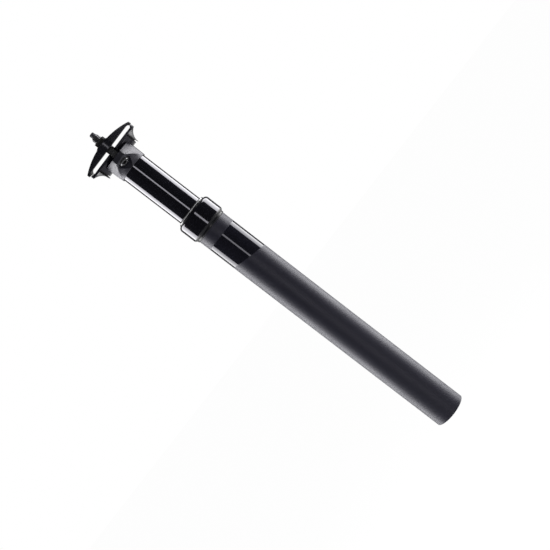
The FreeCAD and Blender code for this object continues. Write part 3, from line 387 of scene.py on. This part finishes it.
def metal_finish(name, dark, pale, roughness, marks=LATHE_MARKS, width=0.0002, microns=3.0):
    """Machined metal, dark to pale. marks scales the axes, so that tool marks run along some."""
    made = Finish(name, {"Metallic": 1.0})
    cuts = made.place.stretched(*marks).noise(width)
    stain = made.place.noise(grain=0.006, detail=3.0)
    made.feed("Base Color", (stain * 0.7 + cuts * 0.3).between(dark, pale))
    made.feed("Roughness", cuts * 0.08 + stain.spread(roughness, roughness + 0.08))
    made.feed("Normal", cuts.bump(microns))
    return made


metal_finish(
    "ground_brass",
    dark=(0.62, 0.42, 0.16, 1.0),
    pale=(0.75, 0.54, 0.24, 1.0),
    roughness=0.25,
    marks=LONG_MARKS,
).put_on("guide_keys")


# Gas cylinder: seamless steel tube, zinc plated a warm grey. It stands inside the sliding tube
# and moves with it.
metal_finish(
    "plated_steel",
    dark=grey(0.42, red=1.02, blue=0.96),
    pale=grey(0.56, red=1.02, blue=0.96),
    roughness=0.28,
).put_on("gas_cylinder")


# Cylinder plug: aluminium end plug, turned and left bare. It closes the top of the gas cylinder,
# under the head.
metal_finish(
    "turned_aluminium",
    dark=grey(0.62),
    pale=grey(0.74),
    roughness=0.26,
).put_on("cylinder_plug")


# Rod guide: turned aluminium bush, left bare. It closes the cylinder's lower end and keeps the
# rod central.
metal_finish(
    "turned_guide",
    dark=grey(0.55),
    pale=grey(0.7),
    roughness=0.3,
).put_on("rod_guide")


# Rod seal: moulded rubber ring, wet with oil. It sits in a groove inside the rod guide and seals
# the gas against the rod.
def rubber_finish(name, dark, pale, roughness):
    """Moulded rubber: fine skin, a slight bloom and a soft shine."""
    made = Finish(name, {"IOR": 1.5})
    fine = made.place.noise(grain=0.0002, detail=3.0, roughness=0.6)
    cloud = made.place.noise(grain=0.003)
    made.feed("Base Color", (fine * 0.4 + cloud * 0.6).between(dark, pale))
    made.feed("Roughness", cloud.spread(roughness, roughness + 0.12))
    made.feed("Normal", fine.bump(microns=8.0))
    return made


rubber_finish(
    "seal_rubber",
    dark=grey(0.012),
    pale=grey(0.022),
    roughness=0.25,
).put_on("rod_seal")


# Top-out bumper: soft red rubber ring, slipped over the rod. It lies on the rod guide and stops
# the post at the end of its travel.
rubber_finish(
    "bumper_rubber",
    dark=(0.2, 0.03, 0.02, 1.0),
    pale=(0.3, 0.05, 0.03, 1.0),
    roughness=0.4,
).put_on("top_out_bumper")


# Cylinder clip: split ring of spring steel, blued in its heat treatment. It snaps into the foot
# of the sliding tube and holds the gas cylinder in.
metal_finish(
    "blued_spring_steel",
    dark=(0.06, 0.07, 0.1, 1.0),
    pale=(0.12, 0.13, 0.18, 1.0),
    roughness=0.22,
).put_on("cylinder_clip")


# Piston rod: hollow steel rod, ground and hard chromed. It stands in the release body and
# carries the piston at its upper end.
metal_finish(
    "chromed_rod",
    dark=grey(0.7, red=0.99, blue=1.02),
    pale=grey(0.8, red=0.99, blue=1.02),
    roughness=0.07,
    width=0.00012,
    microns=0.8,
).put_on("piston_rod")


# Piston: aluminium, turned with the groove for its ring and left bare. It is fixed to the rod's
# upper end, inside the gas cylinder.
metal_finish(
    "turned_piston",
    dark=grey(0.58),
    pale=grey(0.72),
    roughness=0.24,
).put_on("piston")


# Piston ring: moulded seal ring of low-friction rubber. It is stretched into the piston's groove
# and slides in the gas cylinder's bore.
rubber_finish(
    "piston_ring_rubber",
    dark=grey(0.015),
    pale=grey(0.028),
    roughness=0.22,
).put_on("piston_ring")


# Release pin: ground steel pin. It runs up through the hollow rod, and the lever pushes it to
# open the valve.
metal_finish(
    "ground_pin",
    dark=grey(0.55),
    pale=grey(0.68),
    roughness=0.18,
    width=0.00012,
    microns=1.0,
).put_on("release_pin")


# Release body: aluminium block, milled and anodised black. It is pushed into the foot of the
# lower tube and holds the rod, the lever and the end of the cable's housing.
block_finish = Finish("milled_black_block", {"IOR": 1.5})
place = block_finish.place
passes = place.stretched(0.1, 0.1, 1.0).noise(grain=0.0003)
dye = place.noise(grain=0.006, detail=3.0)
block_black = (dye * 0.7 + passes * 0.3).between(grey(0.016, blue=1.15), grey(0.028, blue=1.15))
block_finish.feed("Base Color", block_black)
block_finish.feed("Roughness", dye.spread(0.28, 0.36) + passes * 0.05)
block_finish.feed("Normal", passes.bump(microns=6.0))
block_finish.put_on("release_body")


# Lever pin: hardened steel dowel, ground all round. It is pressed across the release body, and
# the release lever turns on it.
DOWEL_MARKS = (1.0, 0.05, 0.05)
metal_finish(
    "hardened_dowel",
    dark=grey(0.5),
    pale=grey(0.62),
    roughness=0.16,
    marks=DOWEL_MARKS,
    microns=1.0,
).put_on("lever_pin")


# Release lever: stamped steel, tumbled and nickel plated. A cable pulls one end of it down, and
# the other end pushes the release pin up.
TUMBLED_MARKS = (1.0, 1.0, 1.0)
metal_finish(
    "nickel_lever",
    dark=grey(0.5, red=1.04, blue=0.93),
    pale=grey(0.64, red=1.04, blue=0.93),
    roughness=0.24,
    marks=TUMBLED_MARKS,
    width=0.0003,
).put_on("release_lever")


# Rod lock nut: zinc plated steel nut. It is tightened on top of the release body and holds the
# piston rod in it.
metal_finish(
    "zinc_nut",
    dark=grey(0.45, red=0.98, blue=1.05),
    pale=grey(0.6, red=0.98, blue=1.05),
    roughness=0.3,
).put_on("rod_lock_nut")


# Foot clip: split ring of dark spring steel. It snaps into the tube's foot and keeps the release
# body in.
metal_finish(
    "foot_clip_steel",
    dark=grey(0.09, red=0.95, blue=1.15),
    pale=grey(0.15, red=0.95, blue=1.15),
    roughness=0.25,
).put_on("foot_clip")


# Head: hot forged aluminium neck with a front and a rear tower. It is shot blasted and anodised
# black; the forging's skin shows under the satin, and the bolt seats are spot faced.
FORGED_GRAIN = 0.0003
BROKEN_EDGE = 0.0004


def forged_finish(name, dark, pale, roughness, microns, ior):
    """Blasted forging, anodised black: shallow dimples, uneven satin and broken edges."""
    made = Finish(name, black_sheen(ior))
    dimples = made.place.noise(FORGED_GRAIN, detail=3.0, roughness=0.6)
    flow = made.place.noise(grain=0.009)
    made.feed("Base Color", (dimples * 0.3 + flow * 0.7).between(dark, pale))
    made.feed("Roughness", flow.spread(roughness, roughness + 0.05) + dimples * 0.04)
    made.feed("Normal", dimples.bump(microns, BROKEN_EDGE))
    return made


forged_finish(
    "forged_black_head",
    dark=grey(0.006, blue=1.5),
    pale=grey(0.01, blue=1.5),
    roughness=0.4,
    microns=4.0,
    ior=1.4,
).put_on("head")


# Washers: domed steel washers under the bolt heads, blackened. The dome is ground smooth and
# turns in the head's spot-faced seat.
def black_steel(name, dark, pale, roughness):
    """Steel with a black oxide skin: dark and even, with a soft oily shine."""
    made = Finish(name, black_sheen(1.45))
    cloud = made.place.noise(grain=0.002, detail=3.0)
    pits = made.place.noise(grain=0.00015)
    made.feed("Base Color", (cloud * 0.7 + pits * 0.3).between(dark, pale))
    made.feed("Roughness", cloud.spread(roughness, roughness + 0.08))
    made.feed("Normal", pits.bump(microns=1.0, edge=0.00015))
    return made


black_steel(
    "black_washer",
    dark=grey(0.006),
    pale=grey(0.012),
    roughness=0.3,
).put_on("front_washer", "rear_washer")


# Clamp bolts: six millimetre steel bolts, cold headed and thread rolled, then blackened. Each lies
# head down in its tower, with a hexagon socket in the head, and runs up through its barrel nut.
# The rear bolt is longer and ends in a plain tip.
BOLT_FACE = 0.0038
BOLT_HEAD_RADIUS = 0.004
BOLT_BALL_RADIUS = 0.0065
BALL_MIDDLE_RADIUS = 0.0034
BOLT_RADIUS = 0.003
BOLT_CHAMFER = 0.0005
SHANK_LENGTH = 0.0006
SHANK_TAPER = 0.0003
SOCKET_FLATS = 0.004
SOCKET_DEPTH = 0.0022
SOCKET_RIM = 0.0009
SOCKET_BEVEL = 0.0003
THREAD_ROOT = 0.00242
THREAD_PITCH = 0.001
THREAD_START = 0.0005
THREAD_SINK = 0.0001
THREAD_FOOT_SHARE = 0.92
THREAD_CREST_SHARE = 0.36
THREAD_STEPS = 28
TURNED_SIDES = 40
RUBBED_DEPTH = 0.0002
DULL_HEIGHT = 0.0001
DULL_FADE = 0.0003
DULL_START = 0.006
FACING_DOWN = -0.9


def pick(piece, kind, chosen):
    """Selects the piece's vertices or faces that chosen says, and nothing else, in edit mode."""
    bpy.ops.object.mode_set(mode="EDIT")
    bpy.ops.mesh.select_mode(type="FACE" if kind == "faces" else "VERT")
    bpy.ops.mesh.select_all(action="DESELECT")
    bpy.ops.object.mode_set(mode="OBJECT")
    for item in piece.data.polygons if kind == "faces" else piece.data.vertices:
        item.select = chosen(item)
    bpy.ops.object.mode_set(mode="EDIT")


def take_up(piece):
    """Makes this piece the only one selected, and the active one."""
    everything_off()
    piece.select_set(True)
    bpy.context.view_layer.objects.active = piece


def finish_modifier(piece, kind, **settings):
    """Adds a modifier to the piece and applies it."""
    bpy.context.view_layer.objects.active = piece
    modifier = piece.modifiers.new("step", kind)
    for name, setting in settings.items():
        setattr(modifier, name, setting)
    bpy.ops.object.modifier_apply(modifier=modifier.name)


def cut_away(piece, tool):
    """Takes the tool's shape out of the piece, and removes the tool."""
    finish_modifier(piece, "BOOLEAN", object=tool, operation="DIFFERENCE", solver="EXACT")
    bpy.data.objects.remove(tool)


def turned_blank(name, rings):
    """A solid turned on the upright axis: a disc drawn out through rings of radius and height."""
    everything_off()
    radius, height = rings[0]
    bpy.ops.mesh.primitive_circle_add(
        vertices=TURNED_SIDES,
        radius=radius,
        fill_type="NGON",
        location=(0.0, 0.0, height),
    )
    piece = bpy.context.object
    piece.name = name
    bpy.ops.object.transform_apply()
    bpy.ops.object.mode_set(mode="EDIT")
    bpy.ops.mesh.select_all(action="SELECT")
    for next_radius, next_height in rings[1:]:
        rise = (0.0, 0.0, next_height - height)
        bpy.ops.mesh.extrude_region_move(TRANSFORM_OT_translate={"value": rise})
        wider = (next_radius / radius, next_radius / radius, 1.0)
        bpy.ops.transform.resize(value=wider, center_override=(0.0, 0.0, next_height))
        radius, height = next_radius, next_height
    close_mesh()
    return piece


def rolled_thread(name, start, end):
    """A thread ridge wound from start to end round the upright axis."""
    everything_off()
    bpy.ops.mesh.primitive_plane_add(size=1.0, rotation=(math.pi / 2, 0.0, 0.0))
    ridge = bpy.context.object
    ridge.name = name
    bpy.ops.object.transform_apply()
    bpy.ops.object.mode_set(mode="EDIT")
    bpy.ops.mesh.select_all(action="SELECT")
    depth = BOLT_RADIUS - THREAD_ROOT + THREAD_SINK
    section = (depth, 1.0, THREAD_PITCH * THREAD_FOOT_SHARE)
    bpy.ops.transform.resize(value=section, center_override=(0.0, 0.0, 0.0))
    middle = BOLT_RADIUS - depth / 2
    first_turn = start + THREAD_PITCH / 2
    bpy.ops.transform.translate(value=(middle, 0.0, first_turn))
    pick(ridge, "vertices", lambda corner: corner.co.x > middle)
    crest = (1.0, 1.0, THREAD_CREST_SHARE)
    bpy.ops.transform.resize(value=crest, center_override=(0.0, 0.0, first_turn))
    bpy.ops.mesh.select_all(action="SELECT")
    bpy.ops.mesh.delete(type="ONLY_FACE")
    bpy.ops.object.mode_set(mode="OBJECT")
    finish_modifier(
        ridge,
        "SCREW",
        steps=THREAD_STEPS,
        render_steps=THREAD_STEPS,
        screw_offset=THREAD_PITCH,
        iterations=int((end - start) / THREAD_PITCH) - 1,
    )
    bpy.ops.object.mode_set(mode="EDIT")
    bpy.ops.mesh.select_mode(type="VERT")
    bpy.ops.mesh.select_all(action="SELECT")
    bpy.ops.mesh.remove_doubles(threshold=WELD)
    bpy.ops.mesh.fill_holes(sides=6)
    close_mesh()
    return ridge


def leg(long_side, short_side):
    """The third side of a right-angled triangle, from its long side and one short side."""
    return math.sqrt(long_side * long_side - short_side * short_side)


def clamp_bolt(name, length, tip):
    """A clamp bolt standing upright, its ball centre at the origin. tip adds rings to its end."""
    thread_end = BOLT_FACE + length - BOLT_CHAMFER
    neck = leg(BOLT_BALL_RADIUS, THREAD_ROOT)
    rings = [
        (BOLT_HEAD_RADIUS - BOLT_CHAMFER, BOLT_FACE),
        (BOLT_HEAD_RADIUS, BOLT_FACE + BOLT_CHAMFER),
        (BOLT_HEAD_RADIUS, leg(BOLT_BALL_RADIUS, BOLT_HEAD_RADIUS)),
        (BALL_MIDDLE_RADIUS, leg(BOLT_BALL_RADIUS, BALL_MIDDLE_RADIUS)),
        (BOLT_RADIUS, leg(BOLT_BALL_RADIUS, BOLT_RADIUS)),
        (BOLT_RADIUS, neck + SHANK_LENGTH),
        (THREAD_ROOT, neck + SHANK_LENGTH + SHANK_TAPER),
        (THREAD_ROOT, thread_end),
    ]
    rings += [(radius, thread_end + rise) for radius, rise in tip]
    bolt = turned_blank(name, rings)
    lowest = BOLT_FACE + WELD
    pick(bolt, "faces", lambda face: face.normal.z < FACING_DOWN and face.center.z < lowest)
    bpy.ops.mesh.inset(thickness=SOCKET_RIM)
    bpy.ops.mesh.inset(thickness=SOCKET_BEVEL)
    bpy.ops.transform.translate(value=(0.0, 0.0, SOCKET_BEVEL))
    everything_off()
    bpy.ops.mesh.primitive_cylinder_add(
        vertices=6,
        radius=SOCKET_FLATS / math.sqrt(3.0),
        depth=SOCKET_DEPTH * 2,
        location=(0.0, 0.0, BOLT_FACE),
    )
    hexagon = bpy.context.object
    bpy.ops.object.transform_apply()
    cut_away(bolt, hexagon)
    thread = rolled_thread(name + "_thread", neck + THREAD_START, thread_end)
    take_up(bolt)
    thread.select_set(True)
    bpy.ops.object.join()
    bpy.ops.object.shade_smooth_by_angle(angle=math.radians(28.0))
    return bolt


def from_pivot(place, pivot, lean):
    """A place as measured from a pivot, along axes that lean about x."""
    inputs = {"Vector": place, "Location": pivot, "Rotation": (lean, 0.0, 0.0)}
    return place.through("ShaderNodeMapping", {"vector_type": "TEXTURE"}, inputs)


def blackened_bolt(name, pivot, lean):
    """Black oxide, rubbed brighter on the thread's crests, dull in its root and on a plain tip."""
    made = Finish(name, black_sheen(1.45))
    local = from_pivot(made.place, pivot, lean)
    radius = off_axis(local)
    cloud = local.noise(grain=0.002, detail=3.0)
    on_crest = radius.ramp(BOLT_RADIUS - RUBBED_DEPTH, BOLT_RADIUS)
    rubbed = on_crest * cloud.ramp(0.35, 0.6, 0.2, 1.0)
    made.feed("Base Color", (rubbed * 0.8 + cloud * 0.2).between(grey(0.006), grey(0.035)))
    made.feed("Roughness", 0.3 - rubbed * 0.2)
    made.feed("Normal", local.noise(grain=0.00015).bump(microns=1.5, edge=0.0001))
    in_root = radius.ramp(THREAD_ROOT + DULL_HEIGHT, THREAD_ROOT + DULL_FADE, 1.0, 0.0)
    above_head = local.part("Z").ramp(DULL_START, DULL_START + 2 * BORDER)
    add_dull_skin(made, in_root * above_head, ior=1.2)
    made.feed("Base Color", cloud.between(grey(0.022, blue=1.2), grey(0.036, blue=1.2)))
    made.feed("Roughness", cloud.spread(0.55, 0.65))
    made.feed("Normal", local.noise(grain=0.0002).bump(microns=4.0))
    return made


def lean_onto(piece, pivot, lean):
    """Leans an upright piece about x, moves its origin to the pivot and applies both."""
    take_up(piece)
    piece.rotation_euler = (lean, 0.0, 0.0)
    piece.location = pivot
    bpy.ops.object.transform_apply()


def set_in_tower(bolt, node, pivot, lean):
    """Leans an upright bolt into its tower, blackens it and puts it in the node's stead."""
    lean_onto(bolt, pivot, lean)
    bolt.data.materials.clear()
    bolt.data.materials.append(blackened_bolt(bolt.name + "_finish", pivot, lean).material)
    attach(bolt, node)
    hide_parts(node)


FRONT_LENGTH = 0.0343
FRONT_TIP = [(THREAD_ROOT - BOLT_CHAMFER, BOLT_CHAMFER)]
FRONT_PIVOT = (0.0, -0.0194965, 0.3319616)
FRONT_LEAN = math.radians(-16.7712)
front_bolt = clamp_bolt("front_clamp_bolt", FRONT_LENGTH, FRONT_TIP)
set_in_tower(front_bolt, "front_bolt", FRONT_PIVOT, FRONT_LEAN)

REAR_LENGTH = 0.0386
REAR_TIP_RADIUS = 0.00225
REAR_TIP_LENGTH = 0.0027
REAR_TIP = [
    (REAR_TIP_RADIUS, BOLT_CHAMFER / 2),
    (REAR_TIP_RADIUS, REAR_TIP_LENGTH),
    (REAR_TIP_RADIUS - BOLT_CHAMFER, REAR_TIP_LENGTH + BOLT_CHAMFER),
]
REAR_PIVOT = (0.0, 0.0197106, 0.3320332)
REAR_LEAN = math.radians(20.176)
rear_bolt = clamp_bolt("rear_clamp_bolt", REAR_LENGTH, REAR_TIP)
set_in_tower(rear_bolt, "rear_bolt", REAR_PIVOT, REAR_LEAN)


# Barrel nuts: round steel nuts, turned, cross drilled and blackened, with polished ends. They lie
# across the bow, and the clamp bolts run through them.
black_steel(
    "black_barrel_nut",
    dark=grey(0.006),
    pale=grey(0.012),
    roughness=0.06,
).put_on("front_barrel_nut", "rear_barrel_nut")


# Cradle: forged lower half of the clamp. A thin plate holds the rails from below, a half cylinder
# under it turns in the head, and the ends flare out like a trumpet beside a deep turned groove.
# The plate's faces are polished before anodising; the flares keep their blasted satin.
PLATE_UNDERSIDE = -0.0021
GROOVE_INNER = 0.0174
GROOVE_OUTER = 0.0188
GROOVE_RADIUS = 0.0125
GROOVE_FLOOR = 0.0105
GROOVE_SIDES = 72
CORE_LENGTH = 0.004
FLARE_FADE = 0.0002
SEAT_AXIS = (0.0, 0.0, 0.352)
CRADLE_TILT = math.radians(8.5)


def round_bar(radius, length, middle):
    """A round bar lying along x, with its middle this far along."""
    everything_off()
    bpy.ops.mesh.primitive_cylinder_add(
        vertices=GROOVE_SIDES,
        radius=radius,
        depth=length,
        rotation=(0.0, math.pi / 2, 0.0),
        location=(middle, 0.0, 0.0),
    )
    bpy.ops.object.transform_apply()
    return bpy.context.object


cradle = bpy.data.objects.new("grooved_cradle", nodes["lower_cradle"].data.copy())
bpy.context.scene.collection.objects.link(cradle)
take_up(cradle)
bpy.ops.object.mode_set(mode="EDIT")
close_mesh()
for side in (-1, 1):
    middle = (GROOVE_INNER + GROOVE_OUTER) / 2 * side
    cutter = round_bar(GROOVE_RADIUS, GROOVE_OUTER - GROOVE_INNER, middle)
    bpy.ops.object.mode_set(mode="EDIT")
    bpy.ops.mesh.select_all(action="SELECT")
    bpy.ops.mesh.bisect(
        plane_co=(0.0, 0.0, PLATE_UNDERSIDE),
        plane_no=(0.0, 0.0, 1.0),
        use_fill=True,
        clear_outer=True,
    )
    cut_away(cutter, round_bar(GROOVE_FLOOR, CORE_LENGTH, middle))
    lean_onto(cutter, SEAT_AXIS, CRADLE_TILT)
    cut_away(cradle, cutter)
take_up(cradle)
bpy.ops.object.shade_smooth_by_angle(angle=math.radians(14.0))
cradle_finish = forged_finish(
    "forged_black_cradle",
    dark=grey(0.003, blue=1.6),
    pale=grey(0.006, blue=1.6),
    roughness=0.13,
    microns=3.0,
    ior=1.39,
)
local = from_pivot(cradle_finish.place, SEAT_AXIS, CRADLE_TILT)
past_plate = abs(local.part("X")).ramp(GROOVE_INNER - FLARE_FADE, GROOVE_INNER - FLARE_FADE / 2)
under_plate = local.part("Z").ramp(PLATE_UNDERSIDE - FLARE_FADE, PLATE_UNDERSIDE, 1.0, 0.0)
flow = local.noise(grain=0.009)
dimples = local.noise(FORGED_GRAIN, detail=3.0, roughness=0.6)
flare_black = (dimples * 0.3 + flow * 0.7).between(grey(0.004, blue=1.4), grey(0.007, blue=1.4))
add_dull_skin(cradle_finish, past_plate * under_plate, ior=1.28)
cradle_finish.feed("Base Color", flare_black)
cradle_finish.feed("Roughness", flow.spread(0.46, 0.52))
cradle_finish.feed("Normal", dimples.bump(3.0, BROKEN_EDGE))
cradle.data.materials.clear()
cradle.data.materials.append(cradle_finish.material)
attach(cradle, "cradle")
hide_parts("lower_cradle")


# Upper clamp: forged aluminium bow over the rails, machined in its grooves, lightly polished and
# anodised black. The barrel nuts lie in its two troughs, and the bolts pull it down.
forged_finish(
    "forged_black_clamp",
    dark=grey(0.003, blue=1.4),
    pale=grey(0.006, blue=1.4),
    roughness=0.16,
    microns=1.2,
    ior=1.33,
).put_on("upper_clamp")


# Floor: a wide sheet of pale paper far under the post. It catches a faint shadow and glows a
# little, so that it melts into the white behind.
def ray(tree, kind):
    """1 for the rays of this kind and 0 for all others."""
    return Value(tree.nodes.new("ShaderNodeLightPath").outputs[f"Is {kind} Ray"])


FLOOR_SIZE = 6.0
FLOOR_PLACE = (0.0, 1.8, -0.28)
FLOOR_GLOW = 0.97
everything_off()
bpy.ops.mesh.primitive_plane_add(size=FLOOR_SIZE, location=FLOOR_PLACE)
floor = bpy.context.object
floor.name = "floor"
floor_paint = bpy.data.materials.new("floor_paint")
floor_paint.use_nodes = True
tree = floor_paint.node_tree
tree.nodes.remove(tree.nodes["Principled BSDF"])
seen = ray(tree, "Camera") + ray(tree, "Glossy") + ray(tree, "Transmission")
glowing = seen.math("MINIMUM", seen, 1.0) * FLOOR_GLOW
paper = glowing.through("ShaderNodeBsdfDiffuse", {}, {"Color": grey(0.9)})
glow = glowing.through("ShaderNodeEmission", {}, {"Color": grey(1.0)})
sheet = glowing.through("ShaderNodeMixShader", {}, {0: glowing, 1: paper, 2: glow})
tree.links.new(sheet.socket, tree.nodes["Material Output"].inputs["Surface"])
floor.data.materials.append(floor_paint)


# Surroundings: white to the eye and behind the post, dark on the camera's side, so that polished
# black keeps its depth.
SKY_LIGHT = 0.6
SKY_IN_FRONT = 0.02
SKY_BEHIND = 0.2
world = bpy.data.worlds.new("studio")
bpy.context.scene.world = world
world.use_nodes = True
tree = world.node_tree
direction = Value(tree.nodes.new("ShaderNodeTexCoord").outputs["Object"])
mirrored = direction.part("Y").ramp(-0.25, 0.35, SKY_IN_FRONT, SKY_BEHIND)
camera_ray = ray(tree, "Camera") + ray(tree, "Transmission")
glossy_ray = ray(tree, "Glossy")
level = camera_ray + glossy_ray * mirrored + (1 - camera_ray) * (1 - glossy_ray) * SKY_LIGHT
sky = tree.nodes["Background"]
sky.inputs["Color"].default_value = grey(1.0)
tree.links.new(level.socket, sky.inputs["Strength"])


# Lamps: a tall soft box on each side, a little behind the post, draws its pale edges. A narrow
# one beside the camera draws the bright line down the middle.
def soft_box(name, angle, distance, width, tall, middle, radiance):
    """A soft box at this angle from the front, in degrees, turned towards the post."""
    lamp = bpy.data.lights.new(name, "AREA")
    lamp.shape = "RECTANGLE"
    lamp.size = width
    lamp.size_y = tall
    lamp.energy = radiance * math.pi * width * tall
    box = bpy.data.objects.new(name, lamp)
    bpy.context.scene.collection.objects.link(box)
    turn = math.radians(angle)
    box.location = (distance * math.sin(turn), -distance * math.cos(turn), middle)
    box.rotation_euler = (math.pi / 2, 0.0, turn)
    box.visible_camera = False


CAMERA_ANGLE = 3.0
SIDE_ANGLE = 111.5
STRIP_ANGLE = 6.3
side_box = {"distance": 0.7, "width": 0.5, "tall": 1.3, "middle": 0.15, "radiance": 10.5}
strip = {"distance": 1.0, "width": 0.155, "tall": 1.2, "middle": 0.12, "radiance": 7.2}
soft_box("left_box", CAMERA_ANGLE - SIDE_ANGLE, **side_box)
soft_box("right_box", CAMERA_ANGLE + SIDE_ANGLE, **side_box)
soft_box("front_strip", CAMERA_ANGLE + STRIP_ANGLE, **strip)


# Camera: in front of the post, slightly above its middle and to one side. It is rolled so that
# the post lies across the frame.
CAMERA_LENS = 57.93
CAMERA_PLACE = (0.0381, -0.727, 0.236)
CAMERA_AIM = (0.00066, 0.0, 0.1855)
CAMERA_ROLL = math.radians(-52.46)
camera = bpy.data.objects.new("camera", bpy.data.cameras.new("camera"))
bpy.context.scene.collection.objects.link(camera)
camera.data.lens = CAMERA_LENS
camera.location = CAMERA_PLACE
towards = Vector(CAMERA_AIM) - camera.location
roll = Quaternion((0.0, 0.0, 1.0), CAMERA_ROLL)
camera.rotation_mode = "QUATERNION"
camera.rotation_quaternion = towards.to_track_quat("-Z", "Y") @ roll
bpy.context.scene.camera = camera
bpy.context.scene.view_settings.view_transform = "Standard"
